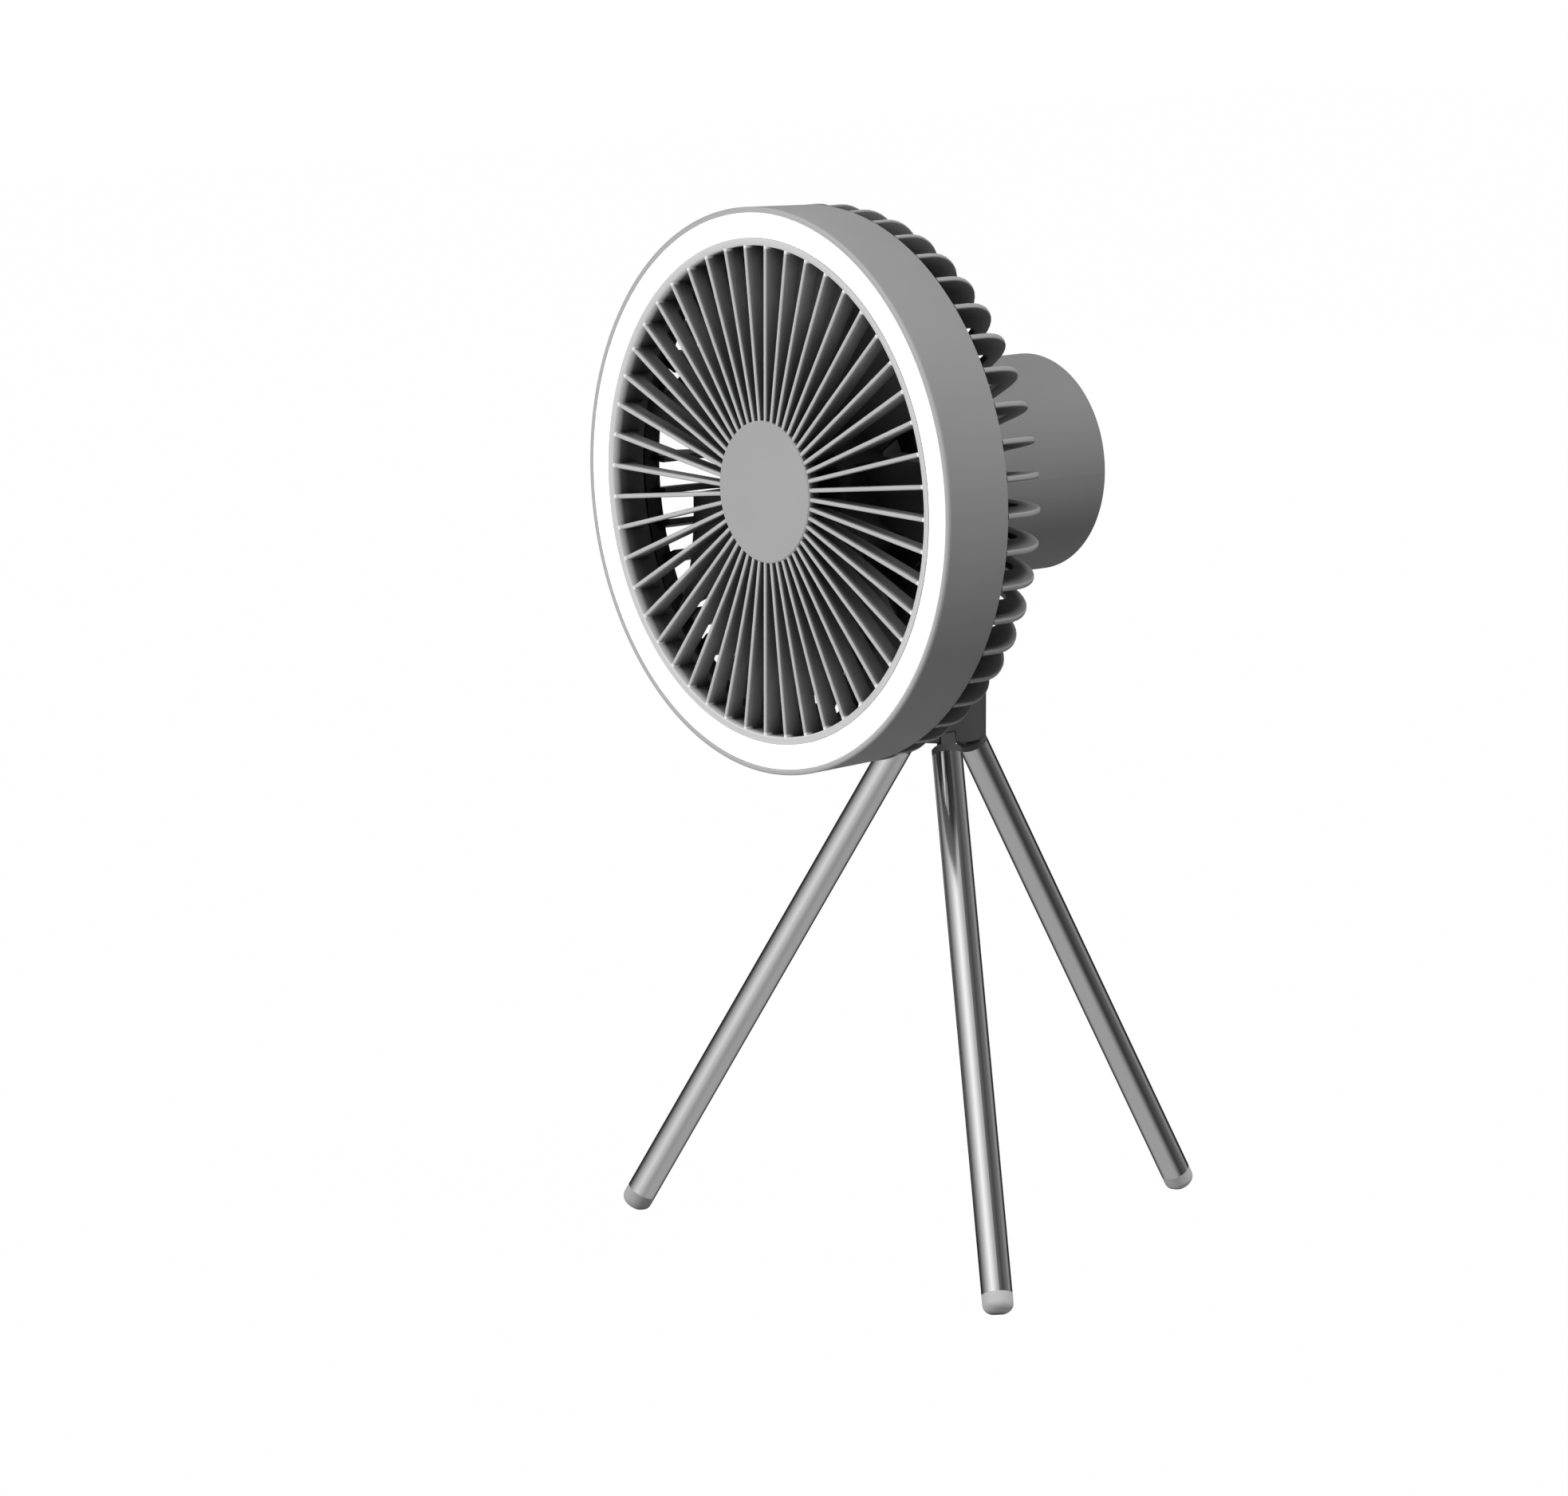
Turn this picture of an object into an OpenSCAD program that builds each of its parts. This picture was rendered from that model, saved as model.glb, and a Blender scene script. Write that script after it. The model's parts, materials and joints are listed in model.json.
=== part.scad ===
// Portable camping fan: a ring-lit fan head that tilts on a post with three folding legs.
// +Z is up and the fan blows towards -Y.  The origin is on the ground, under the middle
// of the whole fan.  Inside the head, depth is counted backwards from the front face.

/* [Ring and lamp] */
// Outer diameter of the ring at its front face
ring_d = 180; // [176:1:190]
// How much the ring's side wall leans in, from its front face to its rear edge
ring_lean = 1; // [0:0.1:1.3]
// Depth of the ring's side wall
ring_depth = 25.2; // [24:0.2:30]
// Width of the thin lip round the lamp
lip_w = 1.7; // [1.2:0.1:2.5]
// Wall of the ring behind the lamp
ring_wall = 1.5; // [1.2:0.1:1.6]
// Width of the milky lamp window
window_w = 8; // [6:0.5:9]
// Thickness of the window
window_t = 1.6; // [1:0.1:2.2]
// Depth of the light chamber behind the window
chamber_depth = 9; // [8:0.2:10]
// Thickness of the lamp's circuit board
board_t = 1.2; // [0.8:0.1:1.6]
// Number of light chips
chip_count = 36; // [24:2:48]
// Thickness of the tray that carries the lamp board
tray_t = 1.6; // [1.2:0.1:2]

/* [Front grille] */
// Width of the bezel between lamp and grille
bezel_w = 2.4; // [2:0.1:3]
// Number of straight vanes, and of rear fins
vane_count = 48; // [36:6:48]
// Thickness of a vane's front edge
vane_t = 1.5; // [1.2:0.1:1.8]
// Depth of the thick front edge of a vane
vane_edge_depth = 2.1; // [1.5:0.1:3]
// Thickness of a vane behind its front edge
vane_web_t = 1; // [0.8:0.1:1.2]
// Depth of a vane
vane_depth = 6.5; // [5:0.5:8]
// Depth of the grille's outer wall
grille_wall_depth = 13; // [12.6:0.2:14]
// Thickness of the grille's outer wall
grille_wall = 1.6; // [1.2:0.1:2]
// How far a vane flares before it meets the wall
flare_r = 6; // [4:0.5:6.5]
// Diameter of the round centre cap
cap_d = 45.2; // [40:0.2:50]
// Thickness of the centre cap
cap_t = 1.5; // [1:0.1:2]
// Thickness of the disc under the cap
centre_t = 2.4; // [2:0.1:3]

/* [Rear cage] */
// Distance from the front face to the rear of the fins
cage_depth = 46.8; // [46:0.2:50]
// Thickness of a rear fin
fin_t = 2; // [1.6:0.1:2.4]
// Radial width of a fin along the side
fin_side_w = 11.5; // [10:0.5:12]
// Depth of a fin along the back
fin_back_w = 6.5; // [6:0.1:7]
// Outer corner radius of a fin
fin_corner = 16; // [12:1:18]
// Width of the ring that plugs into the front ring
plug_ring_w = 3.4; // [3.2:0.1:4]
// Depth of the plug ring
plug_ring_depth = 6; // [5:0.5:7]
// Thickness of the plate that carries motor and barrel
plate_t = 3; // [2.5:0.1:4]
// Number of screws through the plug ring
ring_screw_count = 6; // [4:2:8]

/* [Fan wheel] */
// Gap between the blade tips and what surrounds them
tip_gap = 2.5; // [2:0.1:6]
// Number of blades
blade_count = 7; // [5:1:9]
// Thickness of a blade
blade_t = 1.6; // [1.2:0.1:2.2]
// Length of a blade's curved section
blade_chord = 48; // [40:1:49]
// Slope of a blade against the turning plane
blade_pitch = 27; // [20:1:29]
// Radius of the blade's curve
blade_curve = 60; // [50:5:90]
// Diameter of the wheel's hub
wheel_hub_d = 52; // [48:1:54]
// Wall of the wheel's hub
wheel_wall = 1.8; // [1.4:0.1:2.4]
// Gap between the vanes at the centre and the wheel
wheel_gap = 3.5; // [3:0.5:4]

/* [Motor] */
// Diameter of the motor can
motor_d = 26; // [22:1:30]
// Length of the motor can
motor_len = 21; // [18:0.5:22]
// Wall of the motor can
motor_wall = 1; // [0.8:0.1:1.4]
// Diameter of the shaft
shaft_d = 3; // [2.5:0.1:4]
// Clearance all round the shaft in its bushes
shaft_clear = 0.03; // [0.02:0.01:0.06]
// Outer diameter of the bushes
bush_d = 7; // [6:0.5:8]
// Length of each bush
bush_len = 2.6; // [2:0.2:3]
// Thickness of the magnet ring
magnet_t = 2.5; // [2:0.1:3]
// Air gap between magnets and core
air_gap = 0.5; // [0.4:0.1:0.8]

/* [Barrel] */
// Diameter of the barrel
barrel_d = 70; // [68:0.5:72]
// Wall of the barrel
barrel_wall = 2.2; // [1.8:0.1:3]
// Depth of the room for wiring behind the plate
wiring_room = 8.7; // [8:0.1:14]
// Rounding of the barrel's rear edge
barrel_round = 2; // [1:0.1:2.1]
// Thickness of the rear cover
cover_t = 2; // [1.6:0.1:2.4]
// Diameter of a battery cell
cell_d = 18.4; // [17:0.1:19]
// Length of a battery cell
cell_len = 49.5; // [45:0.5:50]
// Thickness of the cell holder's end plates
holder_t = 4; // [3.5:0.1:5]
// Depth of the cells' pockets in those plates
pocket_depth = 2.5; // [1.5:0.1:3]
// Thickness of the control board
control_t = 1.6; // [1:0.1:2]
// Diameter of a push button
button_d = 12; // [10:0.5:14]
// Travel of a push button
button_travel = 0.8; // [0.5:0.1:1]
// Distance between the two buttons
button_pitch = 22; // [20:0.5:26]
// Height of the buttons above the barrel's axis
button_rise = 7; // [4:0.5:10]
// Width of the charging socket
socket_w = 9; // [8.9:0.1:9.4]
// Height of the charging socket
socket_h = 3.3; // [3.2:0.1:3.6]
// Depth of the charging socket
socket_depth = 7; // [6.5:0.1:7]
// Distance of the charging socket below the barrel's axis
socket_drop = 15; // [12:0.5:18]

/* [Tilt hinge] */
// Gap between the top of the post and the saddle above it
saddle_gap = 1.2; // [0.8:0.1:3]
// Gap between the two cheeks of the post
fork_gap = 12; // [10:0.5:14]
// Radius of the lug round the hinge
lug_r = 12; // [10:0.5:12.5]
// Thickness of the friction washers
washer_t = 0.8; // [0.5:0.1:1.2]
// Side play of the lug
lug_play = 0.05; // [0.03:0.01:0.08]
// Diameter of the hinge screw
hinge_screw_d = 5; // [4:0.5:5]
// Thickness of the saddle under the barrel
saddle_t = 3; // [2:0.1:3]

/* [Post and legs] */
// Diameter of the post
post_d = 30; // [29.6:0.2:31]
// Wall of the post's sleeve
post_wall = 2.3; // [2:0.1:2.4]
// Distance of the leg pins from the post's axis
pin_r = 8.5; // [8.4:0.1:8.7]
// Diameter of the leg pins
pin_d = 3; // [2.5:0.1:3]
// Lean of a spread leg from upright
leg_spread = 30; // [26:1:32]
// Length of a leg from its pin to its tip
leg_len = 197.5; // [180:0.5:220]
// Diameter of a leg tube
tube_d = 9.9; // [9.6:0.1:10]
// Wall of a leg tube
tube_wall = 0.6; // [0.4:0.1:1]
// Distance from the pin to the end of the plug's collar
collar_end = 11.5; // [11:0.1:13]
// Distance from the pin to the top of the plug's collar
collar_top = 8.8; // [8.7:0.1:9.5]
// Thickness of the plug's tongue
tongue_t = 4.6; // [4:0.1:5]
// Half the width of the plug's tongue
tongue_r = 4.2; // [3.8:0.1:4.3]
// Length of the rubber tip that shows
tip_len = 6.1; // [5:0.1:9]
// Rounding of the rubber tip
tip_round = 3; // [2:0.1:3.5]
// How much of the tip is worn flat where it stands
tip_flat = 0.5; // [0.3:0.1:0.6]

/* [Hidden] */
$fn = 96;
eps = 0.01;

// Running and assembly clearances
fit_clear = 0.05;
slide_clear = 0.15;
hinge_room = 0.4;

// Compass headings of the legs, seen from above, with the fan blowing towards -90
left_heading = -150;
right_heading = -30;
rear_heading = 90;

// Heights above the ground
tube_r = tube_d / 2;
post_r = post_d / 2;
tip_centre = leg_len - tip_round;
pin_h = tip_centre * cos(leg_spread) + (tube_r - tip_round) * sin(leg_spread) + tip_round - tip_flat;
hub_above_pins = 8;
web_t = 5.4;
fork_room = 0.6;
hinge_h = pin_h + hub_above_pins + web_t + fork_room + lug_r;
hinge_drop = barrel_d / 2 + saddle_t + saddle_gap + post_r;
axis_h = hinge_h + hinge_drop;

// The post's axis is set back so that the origin is under the middle of the whole fan
front_to_post = 73;
foot_reach = pin_r + tip_centre * sin(leg_spread) + (tube_r - tip_round) * cos(leg_spread) + tip_round;
post_y = (front_to_post - foot_reach) / 2;

// Radii of the head, from the outside in
ring_r = ring_d / 2;
ring_rear_d = ring_d - 2 * ring_lean;
ring_rear_r = ring_rear_d / 2;
window_r = ring_r - lip_w;
window_in_r = window_r - window_w;
grille_r = window_in_r - bezel_w;
wall_out_r = grille_r + grille_wall;
ring_in_r = ring_rear_r - ring_wall;
cap_r = cap_d / 2;
barrel_r = barrel_d / 2;
barrel_in_r = barrel_r - barrel_wall;
fin_in_r = ring_rear_r - fin_side_w;
wheel_d = 2 * (min(grille_r, fin_in_r) - tip_gap);
wheel_r = wheel_d / 2;
hub_r = wheel_hub_d / 2;

// Depths of the head, from the front face back
front_round = 0.6;
window_fit = 0.1;
ledge_depth = 5.2;
board_depth = chamber_depth;
tray_depth = board_depth + board_t;
plug_ring_front = ring_depth - plug_ring_depth - 1;
fin_front = plug_ring_front + plug_ring_depth / 2;
plate_depth = cage_depth - fin_back_w;
wheel_front = vane_depth + wheel_gap;
wheel_back = plate_depth - 3;
motor_front = plate_depth - motor_len;
barrel_front = plate_depth + plate_t;

// Inside the barrel, from the plate to the rear cover
switch_gap = 0.9;
switch_h = 2.2;
plunger_h = 0.7;
button_foot = 1.4;
flange_t = 1.1;
flange_w = 1.2;
cover_sink = 0.3;
holder_front = barrel_front + wiring_room;
cell_front = holder_front + holder_t - pocket_depth;
cell_back = cell_front + cell_len;
holder_back = cell_back + holder_t - pocket_depth;
control_front = holder_back;
control_back = control_front + control_t;
plunger_top = control_back + switch_h + plunger_h;
button_front = plunger_top + switch_gap;
cover_front = button_front + button_foot;
cover_back = cover_front + cover_t;
barrel_back = cover_back + cover_sink;
barrel_len = barrel_back - barrel_front;
cell_ring_r = cell_d / sqrt(3) + 0.6;

// Leg hinge
pins_above_bottom = 6;
slot_play = 0.3;
pin_inset = 0.2;
post_chamfer = 0.6;
post_bottom = pin_h - pins_above_bottom;
hub_top = pin_h + hub_above_pins;
hub_r_out = post_r - post_wall;
fork_floor = hinge_h - lug_r - fork_room;
slot_w = tongue_t + 2 * slot_play;
pin_half = sqrt(pow(hub_r_out, 2) - pow(pin_r + pin_d / 2, 2)) - pin_inset;
tube_top = collar_end;
tube_in_r = tube_r - tube_wall;

// Screws
ring_screw_len = 7;
cover_screw_len = 4.5;
hub_screw_r = 1.25;
small_screw_r = 1;
small_head_r = 1.55;
small_head_h = 1.2;
screw_r = 1.5;
head_r = 2.75;
head_h = 2;

// ---------- Colours, as on the object ----------

light_grey = [0.70, 0.70, 0.69];
mid_grey = [0.56, 0.56, 0.56];
dark_grey = [0.22, 0.22, 0.22];
steel = [0.72, 0.72, 0.73];
board_green = [0.12, 0.32, 0.20];
milk = [0.97, 0.97, 0.95];

// ---------- Places ----------

// Draws in the head: x is to the fan's left-hand side as it faces you, y is down, z is depth
module in_head() {
    translate([0, post_y - front_to_post, axis_h]) rotate([-90, 0, 0]) children();
}

// Draws on the post's axis
module on_post() {
    translate([0, post_y, 0]) children();
}

// Draws at a leg's pin with x outwards and z up, upright
module at_pin(heading) {
    on_post() rotate([0, 0, heading]) translate([pin_r, 0, pin_h]) children();
}

// Draws along a spread leg: -z runs from the pin to the tip
module along_leg(heading) {
    at_pin(heading) rotate([0, -leg_spread, 0]) children();
}

// Draws at the tilt hinge with x along the hinge
module at_hinge() {
    translate([0, post_y, hinge_h]) children();
}

// Repeats a shape round the z axis
module round_copies(count, first = 0) {
    for (i = [0 : count - 1]) rotate([0, 0, first + i * 360 / count]) children();
}

// Turns a flat outline of radius and depth into a rib in a plane through the axis
module radial_plate(thickness) {
    rotate([90, 0, 0]) linear_extrude(height = thickness, center = true) children();
}

module tube(outer, inner, height) {
    difference() {
        cylinder(r = outer, h = height);
        translate([0, 0, -eps]) cylinder(r = inner, h = height + 2 * eps);
    }
}

// A rectangle from the corner at the origin, with its far corner rounded
module corner_block(w, h, r) {
    square([w - r, h]);
    square([w, h - r]);
    intersection() {
        translate([w - r, h - r]) circle(r);
        square([w, h]);
    }
}

// A pan-head screw: its head sits below z = 0 and its shank runs up from there
module pan_screw(shank_r, length, head_rad, head_len) {
    cylinder(r = shank_r, h = length);
    difference() {
        translate([0, 0, -head_len]) cylinder(r = head_rad, h = head_len);
        translate([0, 0, -head_len]) for (a = [0, 90]) rotate([0, 0, a])
            cube([head_rad * 1.2, head_rad * 0.3, head_len], center = true);
    }
}

// ---------- Ring and lamp ----------

boss_r = plug_ring_w / 2;
boss_ring_r = ring_in_r - plug_ring_w / 2;
screw_turn = 180 / vane_count;

module ring_outline() {
    polygon([[ring_r - front_round, 0], [ring_r, front_round], [ring_rear_r, ring_depth],
             [ring_in_r + 0.4, ring_depth], [ring_in_r, ring_depth - 0.6],
             [ring_in_r, tray_depth + tray_t], [wall_out_r, tray_depth + tray_t],
             [wall_out_r, tray_depth], [ring_in_r, tray_depth], [ring_in_r, ledge_depth],
             [window_r, ledge_depth], [window_r, 0]]);
}

module front_ring() {
    color(mid_grey) in_head() difference() {
        union() {
            rotate_extrude() ring_outline();
            round_copies(ring_screw_count, screw_turn) translate([boss_ring_r, 0, tray_depth])
                cylinder(r = boss_r, h = plug_ring_front - tray_depth);
        }
        round_copies(ring_screw_count, screw_turn)
            translate([boss_ring_r, 0, tray_depth + tray_t])
                cylinder(r = small_screw_r, h = plug_ring_front);
        rotate([0, 0, lead_turn]) translate([lead_ring_r, 0, tray_depth - eps])
            cylinder(r = lead_r, h = tray_t + 2 * eps);
    }
}

module light_window() {
    skirt = 1;
    outer = window_r - window_fit;
    inner = window_in_r + window_fit;
    color(milk) in_head() rotate_extrude() {
        polygon([[inner, 0.2], [inner + 1, 0], [outer - 1, 0], [outer, 0.2],
                 [outer, ledge_depth], [outer - skirt, ledge_depth], [outer - skirt, window_t],
                 [inner + skirt, window_t], [inner + skirt, board_depth], [inner, board_depth]]);
    }
}

module lamp_board() {
    color(board_green) in_head() translate([0, 0, board_depth])
        tube(ring_in_r, wall_out_r, board_t);
}

chip_size = 2.8;
chip_t = 0.8;

module light_chips() {
    color("lightyellow") in_head() round_copies(chip_count)
        translate([(window_r + window_in_r) / 2, 0, board_depth - chip_t / 2])
            cube([chip_size, chip_size, chip_t], center = true);
}

// ---------- Front grille ----------

vane_in_r = cap_r - 1;

// Outline of a vane behind its front edge, deeper where it curves into the wall
module vane_outline() {
    difference() {
        translate([vane_in_r, vane_front])
            square([wall_out_r - vane_in_r - eps, grille_wall_depth - vane_front]);
        translate([vane_in_r - eps, vane_depth + flare_r])
            square([grille_r - vane_in_r - flare_r, grille_wall_depth]);
        translate([vane_in_r - eps, vane_depth])
            square([grille_r - vane_in_r - flare_r, flare_r + eps]);
        translate([grille_r - flare_r, vane_depth + flare_r]) circle(flare_r);
    }
}

vane_front = 0.25;

module front_grille() {
    color(light_grey) in_head() difference() {
        union() {
            round_copies(vane_count) {
                radial_plate(vane_t) translate([vane_in_r, vane_front])
                    square([grille_r + 0.5 - vane_in_r, vane_edge_depth]);
                radial_plate(vane_web_t) vane_outline();
            }
            rotate_extrude() polygon([[grille_r + 0.4, 0], [window_in_r, 0], [window_in_r, window_t],
                                      [wall_out_r, window_t], [wall_out_r, grille_wall_depth],
                                      [grille_r, grille_wall_depth], [grille_r, 0.4]]);
            translate([0, 0, cap_t]) cylinder(r = cap_r, h = centre_t);
        }
        translate([0, 0, -eps]) cylinder(r = cap_r, h = cap_t + eps);
    }
}

module centre_cap() {
    color(light_grey) in_head() rotate_extrude()
        polygon([[0, 0], [cap_r - 0.4, 0], [cap_r, 0.4], [cap_r, cap_t], [0, cap_t]]);
}

// ---------- Rear cage ----------

fin_inner_corner = 3;

// Outline of one fin: along the side, round the corner and in to the plate
module fin_outline() {
    difference() {
        translate([0, fin_front]) corner_block(ring_rear_r, cage_depth - fin_front, fin_corner);
        translate([0, fin_front - eps])
            corner_block(fin_in_r, plate_depth - fin_front + eps, fin_inner_corner);
        translate([-eps, fin_front - eps]) square([barrel_r, cage_depth]);
        translate([ring_in_r, fin_front - eps])
            square([ring_wall + 1, ring_depth - fin_front + eps]);
    }
}

plate_screw_r = barrel_in_r - 2.8;
motor_screw_r = 8;
plate_screw_turn = 30;

module rear_cage() {
    color(dark_grey) in_head() difference() {
        union() {
            round_copies(vane_count) radial_plate(fin_t) fin_outline();
            translate([0, 0, plug_ring_front]) tube(ring_in_r, ring_in_r - plug_ring_w, plug_ring_depth);
            translate([0, 0, plate_depth]) tube(barrel_r + 1, bush_d / 2, plate_t);
            translate([0, 0, barrel_front - eps]) tube(barrel_r + 1, barrel_r, 1);
        }
        round_copies(ring_screw_count, screw_turn) translate([boss_ring_r, 0, 0]) {
            cylinder(r = small_screw_r, h = ring_depth);
            translate([0, 0, plug_ring_front + plug_ring_depth - small_head_h])
                cylinder(r = small_head_r, h = fin_side_w);
        }
        round_copies(3, plate_screw_turn) translate([plate_screw_r, 0, plate_depth - eps])
            cylinder(r = screw_r, h = plate_t + 2 * eps);
        round_copies(2) translate([motor_screw_r, 0, plate_depth - eps])
            cylinder(r = small_screw_r, h = plate_t + 2 * eps);
        rotate([0, 0, lead_turn]) translate([lead_hole_r, 0, plate_depth - eps]) {
            cylinder(r = lead_hole_room, h = plate_t + 2 * eps);
            translate([0, -lead_hole_room, 0])
                cube([lead_bend, 2 * lead_hole_room, plate_t + 2 * eps]);
        }
    }
}

module ring_screws() {
    color(steel) in_head() round_copies(ring_screw_count, screw_turn)
        translate([boss_ring_r, 0, plug_ring_front + plug_ring_depth - small_head_h])
            rotate([180, 0, 0]) pan_screw(small_screw_r, ring_screw_len, small_head_r, small_head_h);
}

module plate_screws() {
    color(steel) in_head() round_copies(3, plate_screw_turn) translate([plate_screw_r, 0, plate_depth])
        pan_screw(screw_r, plate_t + flange_depth - 1.2, head_r, head_h);
}

// ---------- Fan wheel ----------

blade_back = wheel_back - 1;
blade_tip_round = 4;

blade_middle = (wheel_front + 3.5 + blade_back) / 2;
blade_tip_w = 44;
blade_root_w = 20;

// Outline of a blade as seen from the front
module blade_outline() {
    polygon([[hub_r - wheel_wall, -blade_root_w / 2], [wheel_r * 0.92, -blade_tip_w / 2],
             [wheel_r + 1, -blade_tip_w * 0.38], [wheel_r + 1, blade_tip_w * 0.4],
             [wheel_r * 0.95, blade_tip_w / 2], [hub_r - wheel_wall, blade_root_w / 2]]);
}

// One curved blade, drawn along x and trimmed to its outline and to the wheel's
module blade() {
    intersection() {
        translate([0, 0, blade_middle]) rotate([0, 90, 0]) linear_extrude(height = wheel_r + 2)
            rotate([0, 0, blade_pitch]) translate([blade_curve, 0]) intersection() {
                difference() {
                    circle(blade_curve + blade_t / 2);
                    circle(blade_curve - blade_t / 2);
                }
                translate([-blade_curve - blade_t, -blade_chord / 2])
                    square([blade_curve, blade_chord]);
            }
        rotate_extrude() translate([hub_r - wheel_wall / 2, wheel_front + 3])
            corner_block(wheel_r - hub_r + wheel_wall / 2, blade_back - wheel_front - 3,
                         blade_tip_round);
        translate([0, 0, wheel_front]) linear_extrude(height = wheel_back - wheel_front)
            blade_outline();
    }
}

shaft_boss_r = shaft_d / 2 + 2.5;
shaft_boss_gap = 1.5;
shaft_boss_len = motor_front - shaft_boss_gap - wheel_front - wheel_wall;

module wheel() {
    color(dark_grey) in_head() difference() {
        union() {
            translate([0, 0, wheel_front]) tube(hub_r, hub_r - wheel_wall, wheel_back - wheel_front);
            translate([0, 0, wheel_front]) cylinder(r = hub_r, h = wheel_wall);
            translate([0, 0, wheel_front]) cylinder(r = shaft_boss_r, h = wheel_wall + shaft_boss_len);
            round_copies(blade_count) blade();
        }
        translate([0, 0, wheel_front + wheel_wall / 2])
            cylinder(r = shaft_d / 2, h = shaft_boss_len + wheel_wall);
    }
}

// ---------- Motor ----------

module motor_can() {
    color(steel) in_head() translate([0, 0, motor_front]) difference() {
        cylinder(r = motor_d / 2, h = motor_len);
        translate([0, 0, motor_wall])
            cylinder(r = motor_d / 2 - motor_wall, h = motor_len - 2 * motor_wall);
        translate([0, 0, -eps]) cylinder(r = bush_d / 2, h = motor_len + 2 * eps);
        round_copies(2) translate([motor_screw_r, 0, motor_len - motor_wall - eps])
            cylinder(r = small_screw_r, h = motor_wall + 2 * eps);
    }
}

module motor_magnets() {
    color("dimgray") in_head() translate([0, 0, motor_front + bush_len + 1])
        tube(motor_d / 2 - motor_wall, motor_d / 2 - motor_wall - magnet_t, motor_len - 2 * bush_len - 2);
}

module bush(depth) {
    color("darkgoldenrod") in_head() translate([0, 0, depth])
        tube(bush_d / 2, shaft_d / 2 + shaft_clear, bush_len);
}

module motor_core() {
    color("peru") in_head() translate([0, 0, motor_front + bush_len + 1.5])
        tube(motor_d / 2 - motor_wall - magnet_t - air_gap, shaft_d / 2, motor_len - 2 * bush_len - 3);
}

module motor_shaft() {
    color(steel) in_head() translate([0, 0, wheel_front + wheel_wall / 2])
        cylinder(r = shaft_d / 2, h = plate_depth + 1 - wheel_front - wheel_wall / 2);
}

module motor_screws() {
    color(steel) in_head() round_copies(2) translate([motor_screw_r, 0, plate_depth + plate_t])
        rotate([180, 0, 0]) pan_screw(small_screw_r, plate_t + motor_wall + 0.5,
                                      small_head_r + 0.4, small_head_h);
}

// ---------- Barrel ----------

flange_in_r = plate_screw_r - 3.5;
flange_depth = 5;
cover_screw_ring = barrel_in_r - 6.3;
cover_screw_turn = 90;

module barrel() {
    color(mid_grey) in_head() difference() {
        union() {
            translate([0, 0, barrel_front]) rotate_extrude() difference() {
                corner_block(barrel_r, barrel_len, barrel_round);
                translate([-eps, -eps]) square([barrel_in_r + eps, barrel_len + 2 * eps]);
            }
            translate([0, 0, barrel_front]) tube(barrel_in_r + eps, flange_in_r, flange_depth);
            round_copies(3, cover_screw_turn) translate([cover_screw_ring, 0, control_back])
                cylinder(r = 2.4, h = cover_front - control_back);
            round_copies(3, cover_screw_turn)
                translate([(cover_screw_ring + barrel_in_r) / 2, 0, (control_back + cover_front) / 2])
                    cube([barrel_in_r - cover_screw_ring + 1, 2, cover_front - control_back],
                         center = true);
        }
        round_copies(3, plate_screw_turn) translate([plate_screw_r, 0, barrel_front - eps])
            cylinder(r = screw_r, h = flange_depth - 1);
        round_copies(3, cover_screw_turn) translate([cover_screw_ring, 0, control_back + 0.8])
            cylinder(r = small_screw_r, h = 10);
        for (side = [-1, 1]) translate([0, barrel_in_r - 1, front_to_post + side * lug_screw_gap])
            rotate([-90, 0, 0]) cylinder(r = screw_r, h = barrel_wall + 2);
    }
}

socket_corner = 1.2;

module socket_outline(grow) {
    for (side = [-1, 1]) translate([side * (socket_w / 2 - socket_corner), 0])
        square([2 * socket_corner + 2 * grow, socket_h - 2 * socket_corner + 2 * grow], center = true);
    square([socket_w - 2 * socket_corner, socket_h + 2 * grow], center = true);
    for (sx = [-1, 1]) for (sy = [-1, 1])
        translate([sx * (socket_w / 2 - socket_corner), sy * (socket_h / 2 - socket_corner)])
            circle(socket_corner + grow);
}

lens_r = 0.9;
lens_pitch = 5;

module lens_places() {
    for (i = [-1.5 : 1 : 1.5]) translate([i * lens_pitch, lens_drop, 0]) children();
}

lens_drop = 6;

module rear_cover() {
    color(mid_grey) in_head() difference() {
        translate([0, 0, cover_front]) cylinder(r = barrel_in_r, h = cover_t);
        for (side = [-1, 1]) translate([side * button_pitch / 2, -button_rise, cover_front - eps])
            cylinder(r = button_d / 2 + slide_clear, h = cover_t + 2 * eps);
        translate([0, socket_drop, cover_front - eps])
            linear_extrude(height = cover_t + 2 * eps) socket_outline(0.2);
        translate([0, 0, cover_front - eps]) lens_places() cylinder(r = lens_r, h = cover_t + 2 * eps);
        round_copies(3, cover_screw_turn) translate([cover_screw_ring, 0, cover_front - eps]) {
            cylinder(r = small_screw_r, h = cover_t + 2 * eps);
            translate([0, 0, cover_t - small_head_h]) cylinder(r = small_head_r + 0.1, h = cover_t);
        }
    }
}

module cover_screws() {
    color(steel) in_head() round_copies(3, cover_screw_turn)
        translate([cover_screw_ring, 0, cover_back - small_head_h]) rotate([180, 0, 0])
            pan_screw(small_screw_r, cover_screw_len, small_head_r, small_head_h);
}

cell_turn = 30;

module cell_places() {
    round_copies(3, cell_turn) translate([cell_ring_r, 0, 0]) children();
}

module battery_cells() {
    color("steelblue") in_head() translate([0, 0, cell_front]) cell_places() {
        cylinder(r = cell_d / 2, h = cell_len);
    }
}

holder_rod_r = 2;
holder_rod_ring = barrel_in_r - 6.8;

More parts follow.
